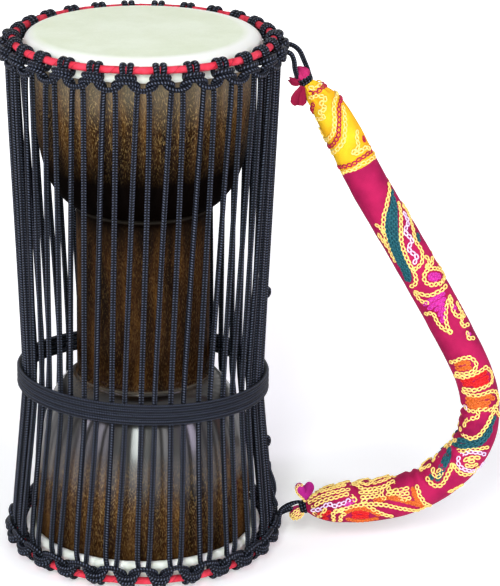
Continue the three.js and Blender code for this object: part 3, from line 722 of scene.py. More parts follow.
legAlong, legOut, legAway = archHalf[0]
strandLines = []
for end, name in ((1, "upper"), (-1, "lower")):
    routes = []
    for k in range(drum["knots"]):
        arch = wholeKnot(k, end, archHalf, archMiddle)
        # the left leg of top knot k runs to the right leg of bottom knot k - 1, its right leg to bottom knot k
        farLeft = atKnot(k - 1 if end > 0 else k, -end, legAlong, legOut, legAway)
        farRight = atKnot(k if end > 0 else k + 1, -end, -legAlong, legOut, legAway)
        leftWaist = waistPlaces(arch[0], farLeft, end)
        rightWaist = waistPlaces(arch[-1], farRight, end)
        strandLines += [(arch[0], leftWaist[0]), (arch[-1], rightWaist[0])]
        routes.append((smoothPath(leftWaist[::-1] + arch + rightWaist, rope["spacing"]), False))
    lacing = makeTubes(f"lacing_{name}", routes, rope["radius"], rope["sides"], braidedRope)
    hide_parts("tension_rope")
    if end > 0:
        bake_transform(lacing)
    else:
        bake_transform(lacing)
print("lacing made")

count = belt["turns"] * belt["perTurn"]
wound = []
for i in range(count + 1):
    azimuth = math.pi + 2 * math.pi * i / belt["perTurn"]
    rise = (i / count - 0.5) * belt["turns"] * belt["pitch"]
    wound.append(around(azimuth, belt["radius"], beltMiddle(azimuth) + rise))
leadIn, leadOut = (wound[a] + (wound[a] - wound[b]) * 0.5 + np.array([0, 0.6, 0]) for a, b in ((0, 1), (-1, -2)))
waistBelt = makeTubes("belt_rope", [(smoothPath([leadIn, *wound, leadOut], 4.0), False)], belt["ropeRadius"],
                      rope["sides"], braidedRope, belt["stitches"])
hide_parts("waist_belt")
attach(waistBelt, "belt")
print("belt made")


def strandAt(z):
    # point on the strand that stands nearest to the strap, at a height
    met = [a + (b - a) * (z - a[2]) / (b[2] - a[2]) for a, b in strandLines if (a[2] - z) * (b[2] - z) <= 0]
    return min((point for point in met if point[0] > 0), key=lambda point: abs(point[1]))


small = {
    "radius": 1.7, "reach": 2.2, "height": 9.0, "drops": {"upper": 0.5, "lower": 123.0},
    # an overhand knot: up behind the strand, over its outer side and back under itself: [along y, out x, up]
    "turns": [(-0.4, -0.8, -0.5), (0.9, 0.1, -0.3), (0.6, 1.0, -0.05), (-0.7, 1.15, 0.2), (-1.05, 0.2, 0.4),
              (-0.2, -0.7, 0.3), (1.0, -0.1, 0.05), (0.9, 1.0, 0.15), (0.0, 1.3, -0.15), (-0.95, 0.7, -0.35),
              (-0.9, -0.4, -0.45)],
}
for name, drop in small["drops"].items():
    route = [strandAt(middleZ - drop + lift * small["height"]) + np.array([out, sideways, 0]) * small["reach"]
             for sideways, out, lift in small["turns"]]
    knot = makeTubes(f"small_knot_{name}", [(smoothPath(route, 0.8), False)], small["radius"], rope["sides"],
                     braidedRope)
    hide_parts(f"strand_knot_{name}")
    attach(knot, "drum")

# The rope's doubled end, plaited loosely against the strand that stands nearest to the strap
tailLook = {
    "drop": 141.0, "length": 38.0, "steps": 40, "turn": 5.2, "start": 0.6,
    # [share down, out, spread]
    "run": [(0, 0.4, 0.9), (0.12, 1.1, 1.2), (0.3, 1.8, 1.5), (0.5, 2.4, 1.7), (0.68, 3.0, 1.8), (0.8, 2.7, 1.5),
            (0.9, 3.3, 1.7), (1, 3.5, 1.4)],
}
runShare, runOut, runSpread = zip(*tailLook["run"])
routes = []
for phase in (0.0, math.pi):
    route = []
    for share in (i / tailLook["steps"] for i in range(tailLook["steps"] + 1)):
        out, spread = np.interp(share, runShare, runOut), np.interp(share, runShare, runSpread)
        angle = phase + tailLook["start"] + tailLook["turn"] * share
        route.append(strandAt(middleZ - (tailLook["drop"] + tailLook["length"] * share))
                     + np.array([out + spread * math.cos(angle), spread * math.sin(angle), 0]))
    routes.append((smoothPath(route, 1.5), False))
tail = makeTubes("rope_tail", routes, small["radius"], rope["sides"], braidedRope)
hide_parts("lacing_tail")
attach(tail, "drum")
print("small knots and tail made")

# Strap's middle line
strap = {"reach": 182.0, "radius": 15.2, "neckRadius": 2.7, "around": 84, "along": 1.6}
# [reach outside the crown rings, rise over half the ring span, share of the full radius], from the top neck down
strapShares = [
    (0.18, 0.79, 0.54), (0.232, 0.735, 0.8), (0.29, 0.645, 0.91), (0.375, 0.491, 0.96), (0.485, 0.316, 0.99),
    (0.6, 0.143, 1), (0.695, -0.01, 1), (0.777, -0.142, 1), (0.855, -0.277, 1), (0.905, -0.39, 1),
    (0.926, -0.497, 1.01), (0.907, -0.617, 1.02), (0.83, -0.726, 1.04), (0.72, -0.811, 1.06),
    (0.6, -0.858, 1.08), (0.475, -0.882, 1.1), (0.36, -0.893, 1.06), (0.27, -0.9, 0.9), (0.215, -0.904, 0.58)]


def strapPlace(reach, rise):
    return np.array([drum["ringRadius"] + reach * strap["reach"], 0, middleZ + rise * drum["ringSpan"] / 2])


neckTop, neckBottom = strapPlace(0.137, 0.836), strapPlace(0.166, -0.909)
strapPoints = [neckTop, *(strapPlace(a, b) for a, b, _ in strapShares), neckBottom]
strapRadii = [strap["neckRadius"], *(s * strap["radius"] for _, _, s in strapShares), strap["neckRadius"]]
# the radius rides along as a fourth value, so that it is smoothed with the path
fine = smoothPath([[*p, r] for p, r in zip(strapPoints, strapRadii)], 1.0, longStep=1.0)
fineLine, fineRadius = fine[:, :3], fine[:, 3]
fineLength = lengthsAlong(fineLine)
strapLength = fineLength[-1]


def strapFrame(t):
    # middle, outward normal in the strap's plane and radius, at distances t along the strap
    t = np.asarray(t, float)
    middle, before, after = (np.stack([np.interp(s, fineLength, fineLine[:, i]) for i in range(3)], -1)
                             for s in (t, t - 2, t + 2))
    ahead = unit(after - before)
    return middle, np.stack([-ahead[..., 2], np.zeros_like(t), ahead[..., 0]], -1), np.interp(t, fineLength, fineRadius)


# Wrinkles across the inside of the bend: [distance along, depth, half width], mm; the bend's inside is at -90 degrees
strapCreases = [
    (304, 1.5, 2.6), (313, 2.0, 2.4), (330, 1.2, 3.0), (343, 2.4, 2.8), (352, 1.8, 2.4), (368, 1.4, 3.0),
    (384, 1.9, 3.2), (396, 1.5, 2.6), (411, 1.7, 3.4), (428, 1.2, 2.8), (446, 1.2, 3.2), (462, 0.9, 2.6)]


def strapSurface(t, angle):
    # angle 0 faces the front, 90 degrees the outside of the bend
    middle, outward, radius = strapFrame(t)
    inner = np.clip(-np.sin(angle), 0, 1) ** 1.3
    for k, (where, depth, width) in enumerate(strapCreases):
        lean = 2.2 * np.sin(angle * 1.5 + k * 1.9)
        radius = radius - 1.35 * depth * inner * np.exp(-((t - where + lean) / width) ** 2)
        radius = radius + depth * 0.5 * inner * np.exp(-((t - where - 1.9 * width + lean) / width) ** 2)
    radius = radius + 0.28 * waves(t * 0.09 + np.sin(angle + 0.7) * 1.6, [(1, 0.2), (2.3, 1.4), (3.9, 2.6)])
    fromEnd = np.minimum(t, strapLength - t)
    gather = np.exp(-((fromEnd - 5) / 9.0) ** 2)
    radius = radius * (1 + gather * (0.13 * np.sin(9 * angle + 0.6) + 0.06 * np.sin(14 * angle + 2.0)))
    normal = np.cos(angle)[..., None] * np.array([0, -1.0, 0]) + np.sin(angle)[..., None] * outward
    return middle + radius[..., None] * normal, normal


# Strap cloth
seam = {"distance": 77.8, "slant": 0.6}      # where the yellow cloth is sewn to the crimson
# threads are drawn 0.9 mm apart
cloths = {"yellow": "#FFCB28", "orange": "#FBA516", "crimson": "#B51B53", "plum": "#8E1043", "thread": 0.9}


def wovenCotton(name, light, deep, roughness):
    # Plain-woven cotton, dyed in the piece: matt, a soft fuzz at the edge and a fine grid of threads
    return wovenCloth(name, light, deep, {
        "roughness": roughness, "gloss": 0.12, "fuzz": 0.45, "threads": 1 / cloths["thread"], "turn": 0, "groove": 0.14,
        "second": "#DDDDDD", "shade": "#808080", "cloud": 38.0, "detail": 4.0, "low": 0.32, "high": 0.6,
        "depth": 0.16, "bump": 0.35})[0]


yellowCotton = wovenCotton("yellow_cotton", cloths["yellow"], cloths["orange"], 0.75)
crimsonCotton = wovenCotton("crimson_cotton", cloths["crimson"], cloths["plum"], 0.75)

rings = round(strapLength / strap["along"])
seamRing = round(seam["distance"] / strapLength * rings)
t = np.linspace(0, strapLength, rings + 1)
t = t + (seam["distance"] - t[seamRing]) * np.exp(-((t - seam["distance"]) / 40) ** 2)
angles = 2 * math.pi * np.arange(strap["around"]) / strap["around"]
tGrid, angleGrid = np.meshgrid(t, angles, indexing="ij")
tGrid = tGrid + seam["slant"] * np.sin(angleGrid) * np.exp(-((tGrid - seam["distance"]) / 32) ** 2)
tGrid = np.clip(tGrid, 0, strapLength)
surface = strapSurface(tGrid, angleGrid)[0].reshape(-1, 3)
girthPlaces = 2 * math.pi * strap["radius"] * np.arange(strap["around"] + 1)[None] / strap["around"]
faces, corners = gridParts(np.hstack([tGrid, tGrid[:, :1]]), girthPlaces, sealed=True)
kinds = [0] * seamRing * strap["around"] + [1] * (rings - seamRing) * strap["around"] + [0, 1]
strapCloth = makeObject("strap_cloth", surface, faces, corners, [yellowCotton, crimsonCotton], kinds)
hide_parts("strap_cover")
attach(strapCloth, "strap")
print("strap cloth made, length", round(strapLength), "mm")

fillLook = {"white": "#DCD2BC", "shadow": "#B9AE96", "endGap": 14, "wall": 5.2}
# Kapok fluff packed in the strap: pale and matt, never seen while the cloth is whole
kapok, tree, shader, place = newMaterial("kapok_filling", {"Roughness": 0.95, "Specular IOR Level": 0.1})
fluff = addNode(tree, "TexNoise", {"Scale": 240.0, "Detail": 5.0, "Vector": place})
fluffTone = addNode(tree, "ValToRGB", {"stops": [(0.35, fillLook["shadow"]), (0.65, fillLook["white"])], "Fac": fluff})
feed(shader, {"Base Color": fluffTone})
stuffMiddle, _, stuffRadius = strapFrame(np.linspace(fillLook["endGap"], strapLength - fillLook["endGap"], 90))
stuffing = makeTubes("strap_stuffing", [(stuffMiddle, False)], np.maximum(stuffRadius - fillLook["wall"], 2.5), 20,
                     kapok)
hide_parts("strap_filling")
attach(stuffing, "strap")

# Chain-stitch embroidery
stitch = {"length": 5.1, "width": 3.8, "thread": 0.62, "pitch": 4.05, "sides": 5, "steps": 12, "bed": 4.6}
threadColours = {
    "cream": ("#FFE794", "#F2CB60"), "crimson": ("#C81E4A", "#930E30"), "teal": ("#1F6A72", "#0F3F4C"),
    "lavender": ("#F3E2F4", "#D2B0DE"), "violet": ("#DC3CAE", "#B01C86"), "orange": ("#EA7A32", "#BC4C14"),
    "red": ("#E4262A", "#C10F14")}
# cloth of the filled figures, seen between the stitches
beds = {"teal": ("#17505A", "#0D333F"), "violet": ("#D9349F", "#B31F80"), "orange": ("#E07226", "#B84C18"),
        "red": ("#DE2224", "#B80E14")}
# Rows of chain stitch, by the pixels of the 500 x 586 picture that they cross on the strap's near side; each row is
# laid on the cloth where the camera's ray meets it, and repeated on the far side.
chainRows = {
    "crimson": [
        [(308.5, 92.5), (315, 93), (321, 89.5), (327, 84)],
        [(341, 96), (339, 108), (339, 122), (338, 136), (334, 143), (329, 147)],
        [(338.5, 167), (346, 166), (354, 163), (363, 157), (371, 151)],
        [(313.5, 103), (312.5, 109), (312, 114.5)],
        [(363, 136.5), (363.5, 142)]],
    "cream": [
        [(309, 87), (315, 88.5), (320, 85.5)],
        [(310, 98), (318, 96), (325, 98), (321, 104.5), (326, 108), (320, 112), (324, 117), (317, 119)],
        [(337, 93.5), (333.5, 105), (334.5, 122), (332.5, 134), (327, 140), (321, 134), (317, 128)],
        [(343, 106), (344.5, 117), (345, 130), (343, 142), (338, 149), (332.5, 153)],
        [(357.4, 130), (356.5, 138), (358, 146), (352.6, 153), (359, 152.5), (366, 147)],
        [(366.5, 146.5), (369.5, 150)],
        [(342, 173), (350, 170.5), (358, 166.5), (367, 161.5), (374.6, 156.7)],
        [(388.6, 183), (389, 191.5), (386.7, 204), (383.8, 218), (383.8, 230), (387, 241), (391, 252), (396, 262)],
        [(375, 224), (381, 227.5), (384, 233)], [(378, 233), (383, 240), (388, 247)],
        [(398, 202), (400.6, 213.5), (400.6, 228), (401.5, 242), (405, 253.7), (409.7, 264), (413.5, 271),
         (416, 277.6), (415.4, 283.3), (411, 286.5)],
        [(402, 205), (406.5, 211), (412.5, 227.8), (415.4, 241), (421, 250), (422, 259.4), (418.3, 267), (413, 270)],
        [(425, 256), (429, 261), (426, 268), (431, 264), (432, 257)],
        [(423.4, 276.7), (426, 271), (433.6, 268.7), (441, 271), (444, 276.7), (441, 282.5), (433.6, 284.7),
         (426, 282.5), (423.4, 276.7)],
        [(414.4, 291), (424, 294.8), (433.6, 293.9), (440, 290.5), (446, 285.3)],
        [(414.4, 291), (418, 297), (423, 301.5), (428.8, 302.5)],
        [(449.9, 294.8), (446, 308), (446, 321.6), (449, 330), (452, 332.6)],
        [(425, 314), (432.6, 313), (437.4, 321.6), (443, 328.3), (452, 332.6)],
        [(450.8, 296.7), (451.8, 307.3), (456.6, 315.9), (461.3, 314), (459.5, 309), (456, 302)],
        [(464, 314), (461, 320), (463, 326), (468, 324)],
        [(467, 331.5), (468, 337.5), (474, 338.5)],
        [(450, 362.5), (456, 361), (463, 358), (471, 358), (476, 363.6), (474, 370), (466, 373.5), (456, 373)],
        [(454, 375), (462, 377), (470, 376), (478, 372), (486.6, 367)],
        [(486.6, 367), (491.5, 374), (491, 382), (484, 387), (474, 390), (463, 388)],
        [(462, 391), (470, 395), (480, 394.6), (490, 391), (496, 392)],
        [(496, 392), (498, 399), (495, 406.5), (487, 409.5), (478, 409)],
        [(464, 405), (470, 410), (478, 412), (476, 418), (468, 419), (465, 427)],
        [(460, 426.8), (462.5, 434), (469.4, 438.3), (479.7, 434.8), (484, 429), (489, 421.5), (492, 414), (495, 409.5),
         (499, 416)],
        [(456.7, 449.7), (464, 450.5), (471.7, 449.7), (480, 448.5), (488, 446.5)],
        [(437, 472.7), (440.5, 470), (441, 475), (436, 477), (433, 473), (435, 468.5)],
        [(427, 477.3), (430, 482), (434, 485.5), (440.7, 485.3), (446.4, 477.3), (450, 470), (453.3, 463.5)],
        [(453.3, 463.5), (459, 471.5), (467, 474.4), (474, 471), (478, 466.5)],
        [(447.6, 492), (454, 489), (462.5, 484)], [(420, 471), (426, 467), (432, 465.5)],
        [(464, 461.5), (468, 458), (474, 457), (479, 458.5)], [(465, 464.5), (471, 466), (477, 463.5)],
        [(468, 461.5), (474, 461)],
        [(447, 448), (452, 443), (457, 441)], [(433, 461), (439, 456)],
        [(307, 501), (312, 496), (318.7, 492.6), (333, 488.5), (350, 484.5)],
        [(309, 503.5), (321.6, 496.5), (335, 492.5), (350, 489)],
        [(312, 507), (323.5, 501), (336, 497.5), (347.4, 494.5), (353, 497.4), (355, 502)],
        [(352, 484), (358, 487), (364, 489.5), (374, 489), (388, 485), (398, 481.5)],
        [(358, 482.5), (368, 484.5), (380, 481.5), (390, 478.5)],
        [(359, 493), (368, 492.5), (378, 491.5)], [(360, 497.5), (370, 497), (379, 495.5)],
        [(361, 502), (367, 499.5)], [(383, 488.5), (381, 496), (386, 499)],
        [(389, 487), (388, 492), (396, 490.5), (404, 489), (409, 488)],
        [(386, 495), (394, 493.5), (402, 494), (409, 493)], [(398, 497.5), (405, 499.5), (411, 497)],
        [(313, 511.5), (318.7, 516), (324, 512), (326, 508)],
        [(334, 521), (333, 515), (336, 510.5), (343, 511)], [(340, 521), (341, 516), (345, 513)],
        [(334, 512), (343.6, 509), (357, 505.5), (371.3, 504), (385.7, 505), (404.8, 508.9), (417.3, 509.9),
         (427.8, 505)],
        [(417, 485), (419, 493.6), (424, 502), (430, 505.5)],
        [(366.6, 505.5), (376, 510.8), (385.7, 514.6), (393, 516)]],
    "lavender": [
        [(403, 211.6), (407.8, 223), (404.9, 231.7), (411.6, 240.3), (408.7, 249), (416.4, 256.6), (414, 264)],
        [(457.5, 461), (460, 456), (467, 452.5), (477, 452.5), (485, 454)],
        [(457.5, 461), (461, 467), (470, 470.5), (478, 468), (484, 461)],
        [(464, 405), (468, 408.5)],
        [(311, 510), (321, 509), (328.3, 504), (334, 506), (340, 504), (346, 502.5), (350, 499)]],
    "teal": [
        [(392.2, 190), (392, 204), (391, 218), (391.5, 232), (393.5, 246), (398, 258), (403, 270), (407, 280)],
        [(393, 196), (395.5, 208), (395.5, 221), (396, 234), (398.5, 247), (403, 259), (408, 271), (409.5, 281)],
        [(389.5, 208), (387.5, 219), (387.8, 231), (390.5, 243), (395, 254), (400, 265)],
        [(417, 233), (418.5, 239), (419, 242)],
        [(495.5, 415.5), (492, 423), (488, 431), (483, 437.5), (476, 441.5), (466, 441.5), (458, 440)],
        [(492, 428), (487, 437), (480, 443.5), (471, 446), (461, 445.5), (454, 444.5), (449.5, 450)],
        [(451, 449), (448.5, 458), (445, 466), (440, 475), (437, 481)],
        [(446, 454), (443, 462), (439, 468)], [(430, 474), (433, 480)]],
    "violet": [
        [(428, 276.7), (433.6, 274), (439, 276.7), (433.6, 279.4), (428, 276.7)],
        [(424, 305), (430, 301), (437, 297.5), (444, 293.5)], [(428, 309), (434, 305), (440, 301), (445, 298)],
        [(435, 311), (440, 307), (444, 303)], [(439, 316), (442, 311), (444.5, 307)], [(442, 322), (444, 315)],
        [(452.5, 304), (455, 309.5)], [(467.5, 333.5), (470, 335)],
        [(345, 506), (354, 500.5)]],
    "orange": [
        [(455, 365), (463, 362.5), (470, 363)], [(456, 369), (464, 368.5), (471, 367)],
        [(466, 398), (478, 398.5), (488, 396.5), (494, 398)], [(466, 402), (478, 403), (490, 402)],
        [(468, 406), (480, 407), (488, 406)],
        [(373, 501), (382, 499), (390.5, 497.5), (400, 500), (410, 502.5), (419, 505)],
        [(412.5, 487), (414, 494), (418, 500), (422, 506.5)], [(415, 497), (419, 504)],
        [(345, 513), (352, 509.5), (362, 508.5), (372, 511), (379, 515)],
        [(346, 518.5), (356, 520.5), (368, 520), (378, 518)]],
    "red": [
        [(461, 381), (470, 380), (478, 376), (486, 372)], [(463, 384.5), (473, 384), (482, 380), (488, 376.5)],
        [(474, 387), (483, 384), (488, 381)],
        [(318, 513), (325, 514.5), (331, 511)], [(322, 518), (329, 518.5)], [(352, 513.5), (360, 512), (369, 514)],
        [(352, 516.5), (361, 517), (369, 516.5)]],
}

clothTree = BVHTree.FromPolygons(surface.tolist(), faces[:-2])


def onStrap(pixel):
    # where the camera's ray through a pixel meets the strap's cloth; a ray that just misses takes the nearest edge
    ray = (ahead + right * (pixel[0] - studio["imageWidth"] / 2) / studio["focalPixels"]
           - up * (pixel[1] - studio["imageHeight"] / 2) / studio["focalPixels"]).normalized()
    start = cameraPlace / mm
    hit = clothTree.ray_cast(start, ray)[0]
    if hit is None:
        hit = clothTree.find_nearest(start + ray * (-start.y / ray.y))[0]
    return np.array(hit)


def strapCoordinates(point):
    nearest = int(np.argmin(np.linalg.norm(fineLine - point, axis=1)))
    middle, outward, _ = strapFrame(fineLength[nearest])
    offset = point - middle
    return fineLength[nearest], math.atan2(offset.dot(outward), -offset[1])


linkTurn = 2 * math.pi * np.arange(stitch["steps"]) / stitch["steps"]
linkLine = np.stack([-(stitch["length"] / 2 - stitch["thread"]) * np.cos(linkTurn),
                     (stitch["width"] / 2 - stitch["thread"]) * np.sin(linkTurn) * (1 - 0.22 * np.cos(linkTurn)),
                     0.42 - 0.3 * np.cos(linkTurn)], -1)
linkPoints, linkFaces, linkCorners = tubeParts(linkLine, stitch["thread"], stitch["sides"], True)


def layChain(rows, surfaceOf, size=1.0):
    # one link after another along rows of a surface's two coordinates, each lying on the cloth
    parts = []
    pitch = stitch["pitch"] * size
    for row in rows:
        row = np.asarray(row, float)
        spots, _ = surfaceOf(row[:, 0], row[:, 1])
        along = lengthsAlong(spots)
        if along[-1] < 1.5:
            continue
        count = max(1, round(along[-1] / pitch))
        for i in range(count):
            ends = np.array([i, i + 1]) / count * along[-1]
            where = np.interp(ends.mean(), along, np.arange(len(row)))
            low = int(min(where, len(row) - 2))
            first, second = row[low] + (row[low + 1] - row[low]) * (where - low)
            centre, normal = (found[0] for found in surfaceOf(np.array([first]), np.array([second])))
            forward = np.array([np.diff(np.interp(ends, along, spots[:, n]))[0] for n in range(3)])
            forward -= normal * forward.dot(normal)
            forward /= np.linalg.norm(forward) + 1e-9
            jitter = (1 + 0.07 * math.sin(12.9 * first + 4.1 * second)) * size
            stretch = min(1.15, max(0.75, (ends[1] - ends[0]) / pitch)) * size
            placed = (centre + linkPoints[:, :1] * forward * stretch
                      + linkPoints[:, 1:2] * np.cross(normal, forward) * jitter + linkPoints[:, 2:] * normal * size)
            parts.append((placed, linkFaces, linkCorners))
    return joinParts(parts)


def layBeds(rows, width, height):
    # a low padded ribbon of satin stitch under each row of a filled figure
    parts = []
    across = np.array([-1, -0.6, 0, 0.6, 1])
    lift = np.array([-0.3, 0.75, 1.0, 0.75, -0.3]) * height
    for n, row in enumerate(rows):
        row = np.asarray(row, float)
        spots, normals = strapSurface(row[:, 0], row[:, 1])
        side = np.cross(normals, np.gradient(spots, axis=0))
        side /= np.linalg.norm(side, axis=1)[:, None] + 1e-9
        rounded = np.ones(len(row))
        rounded[0] = rounded[-1] = 0.4
        reach = across[None] * width / 2 * rounded[:, None]
        # keep the edges on the round of the strap
        sunk = reach ** 2 / (2 * strapFrame(row[:, 0])[2][:, None]) * 0.9
        strip = (spots[:, None] + side[:, None] * reach[..., None]
                 + normals[:, None] * (lift + 0.03 * (n % 5) - sunk)[..., None])
        parts.append((strip, *gridParts(lengthsAlong(spots)[:, None], np.arange(len(across))[None], loop=False,
                                        flip=True)))
    return joinParts(parts)


def embroideryThread(name, light, deep):
    # Mercerised cotton embroidery thread: a soft silky gloss, and a twist of fine plies along each stitch, with painted
    # shade in the grooves between the plies; the deep dye also drifts in at random
    material, tree, shader, place = newMaterial(name, {
        "Roughness": 0.5, "IOR": 1.5, "Specular IOR Level": 0.25, "Sheen Weight": 0.15, "Sheen Roughness": 0.35,
        "Sheen Tint": light})
    sheet = addNode(tree, "UVMap", {"uv_map": "UVMap"})
    wave = addNode(tree, "TexWave", {"Scale": 1.0, "Distortion": 0.6, "bands_direction": "DIAGONAL", "Vector": sheet})
    plies = wave.outputs["Fac"]
    # painted shade: the deep colour in the grooves between the plies
    tone = addNode(tree, "ValToRGB", {"stops": [(0.1, deep), (0.5, light)], "Fac": plies})
    cloud = addNode(tree, "TexNoise", {"Scale": 120.0, "Detail": 2.0, "Vector": place})
    dye = addNode(tree, "MapRange", {
        "From Min": 0.3, "From Max": 0.7, "To Min": 0.0, "To Max": 0.35, "Value": cloud})
    dyed = addNode(tree, "MixRGB", {"Fac": dye, "Color1": tone, "Color2": deep})
    bump = addNode(tree, "Bump", {"Strength": 0.4, "Distance": 0.0002, "Height": plies})
    feed(shader, {"Base Color": dyed, "Normal": bump})
    return material


threads = {}
for colour, rowsOfPixels in chainRows.items():
    rows = []
    for pixels in rowsOfPixels:
        row = []
        for x, y, _ in smoothPath([(x, y, 0) for x, y in pixels], 2.0, longStep=2.0):
            place = strapCoordinates(onStrap((x, y)))
            if row:
                place = (place[0], row[-1][1] + (place[1] - row[-1][1] + math.pi) % (2 * math.pi) - math.pi)
            row.append(place)
        rows += [row, [(a, math.pi - b) for a, b in row]]
    if colour in beds:
        bedCloth = wovenCotton(f"{colour}_satin_stitch", *beds[colour], 0.6)
        bed = makeObject(f"fill_{colour}", *layBeds(rows, stitch["bed"], 0.3), [bedCloth])
        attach(bed, "strap")
    threads[colour] = embroideryThread(f"{colour}_cotton_thread", *threadColours[colour])
    stitches = makeObject(f"stitches_{colour}", *layChain(rows, strapSurface), [threads[colour]])
    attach(stitches, "strap")
print("embroidery made")

# Gathered ends of the cloth beyond the ropes
tuftLooks = {"crimson": "#BE2A66", "deep": "#780C35", "flap": "#8E1438", "violet": "#B8258C", "violetDeep": "#8C1263"}
tuftCotton = wovenCotton("crimson_cotton_lining", tuftLooks["crimson"], tuftLooks["deep"], 0.7)
deepCotton = wovenCotton("crimson_cotton_cut_edge", tuftLooks["flap"], tuftLooks["deep"], 0.7)
violetCotton = wovenCotton("violet_cotton", tuftLooks["violet"], tuftLooks["violetDeep"], 0.7)


def finishTuft(name, points, faces, corners, material):
    tuft = makeObject(name, points, faces, corners, [material])
    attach(tuft, "strap")


def puffSurface(centre, axis, size, lobes):
    # a small rounded bunch of gathered cloth: share from the binding to the tip, and angle round it (0 is the far side)
    axis = unit(axis)
    side = np.array([0, 1.0, 0])
    third = np.cross(axis, side)

    def surfaceOf(share, angle):
        swell = np.sin(math.pi * (0.16 + 0.82 * share)) ** 0.8
        folds = 1 + 0.08 * np.cos(lobes * angle + 1.3 * share) + 0.04 * np.cos(lobes * 2 * angle + 2)
        normal = np.cos(angle)[..., None] * side + np.sin(angle)[..., None] * third
        lean = (share - 0.45) * 1.3
        outward = normal * np.cos(lean)[..., None] + axis * np.sin(lean)[..., None]
        return centre + axis * (size[1] * share)[..., None] + (size[0] * swell * folds)[..., None] * normal, outward
    return surfaceOf


def makePuff(name, surfaceOf, material):
    rows, columns = 22, 60
    shares, turned = np.meshgrid(np.arange(rows + 1) / rows, 2 * math.pi * np.arange(columns) / columns, indexing="ij")
    parts = gridParts(np.arange(rows + 1)[:, None], np.arange(columns + 1)[None] * 0.8, sealed=True)
    finishTuft(name, surfaceOf(shares, turned)[0], *parts, material)


def padSurface(middle, upward, width, height, thick, lean):
    # a flat padded shape seen from the front: share out from its middle and angle round it, 0 at the top; far is its
    # back
    upward = unit(upward)
    level = np.array([upward[2], 0, -upward[0]])
    facing = unit(np.array([0, -1.0, 0]) + level * lean)

    def surfaceOf(share, angle, far=False):
        x = np.sin(angle) ** 3
        y = (13 * np.cos(angle) - 5 * np.cos(2 * angle) - 2 * np.cos(3 * angle) - np.cos(4 * angle) + 2.5) / 14.5
        bulge = thick * np.sqrt(np.clip(1 - share ** 2.4, 0, 1)) * (1 + 0.1 * np.cos(5 * angle))
        groove = 1 - 0.45 * np.exp(-(x * share / 0.16) ** 2) * np.clip(y * share + 0.35, 0, 1)
        normal = unit(facing + (level * x[..., None] + upward * y[..., None]) * share[..., None] * 0.7)
        return (middle + level * (x * share * width / 2)[..., None] + upward * (y * share * height / 2)[..., None]
                + facing * ((-1 if far else 1) * bulge * groove)[..., None], normal)
    return surfaceOf


def makePad(name, surfaceOf, material):
    rows, columns = 9, 48
    shares, turned = np.meshgrid(np.linspace(0.02, 1, rows), 2 * math.pi * (np.arange(columns) + 0.5) / columns,
                                 indexing="ij")
    parts = []
    for far in (False, True):
        faces, corners = gridParts(np.arange(rows)[:, None], np.arange(columns + 1)[None] * 0.5)
        faces.append(list(range(columns))[::-1])
        if not far:
            faces = [face[::-1] for face in faces]
        parts.append((surfaceOf(shares, turned, far)[0], faces, corners + [(0, 0)] * columns))
    finishTuft(name, *joinParts(parts), material)


def makeFlap(name, places, widths, fold, material, thick=0.9):
    # a flap of cloth gathered at its first place and spread in folds at its last
    line = smoothPath(places, 1.4)
    along = lengthsAlong(line) / lengthsAlong(line)[-1]
    width = np.interp(along, np.linspace(0, 1, len(widths)), widths)
    ahead = unit(np.gradient(line, axis=0))
    level = np.stack([ahead[:, 2], np.zeros(len(line)), -ahead[:, 0]], 1)
    normal = np.cross(level, ahead)
    rows, columns = len(line), 21
    across = np.linspace(-1, 1, columns)
    ripple = fold * (np.cos(across * 6.0 + 0.6) + 0.4 * np.cos(across * 13.0 + 1.0))[None] * along[:, None] ** 0.7
    droop = 0.16 * width[:, None] * (across[None] ** 2)
    edge = along[:, None] ** 4 * (-0.7 * np.cos(across * 6.0 + 0.3) - 2.0 * across ** 6)[None]
    sheet = (line[:, None] + level[:, None] * (width[:, None] / 2 * across[None])[..., None]
             + normal[:, None] * (ripple - droop)[..., None] + ahead[:, None] * edge[..., None])
    half = rows * columns
    quads, marks = gridParts(np.arange(rows)[:, None] * 1.4, np.arange(columns)[None] * 0.6, loop=False)
    faces, corners = [], []
    for n, quad in enumerate(quads):        # on top and underneath
        corner = marks[4 * n:4 * n + 4]
        faces += [quad[::-1], [q + half for q in quad]]
        corners += corner[::-1] + corner
    border = ([(i, 0) for i in range(rows)] + [(rows - 1, j) for j in range(1, columns)]
              + [(i, columns - 1) for i in range(rows - 2, -1, -1)] + [(0, j) for j in range(columns - 2, 0, -1)])
    ids = [i * columns + j for i, j in border]
    for first, second in zip(ids, ids[1:] + ids[:1]):
        faces.append((first, second, second + half, first + half))
        corners += [(0, 0), (1, 0), (1, 1), (0, 1)]
    points = [sheet + side * normal[:, None] * thick / 2 for side in (1, -1)]
    finishTuft(name, points, faces, corners, material)


topAhead = unit(neckTop - strapPoints[1])
bottomAhead = unit(neckBottom - strapPoints[-2])
makePuff("tuft_top", puffSurface(neckTop + topAhead, topAhead + np.array([0, 0, 0.5]), (5.8, 11.5), 9), tuftCotton)
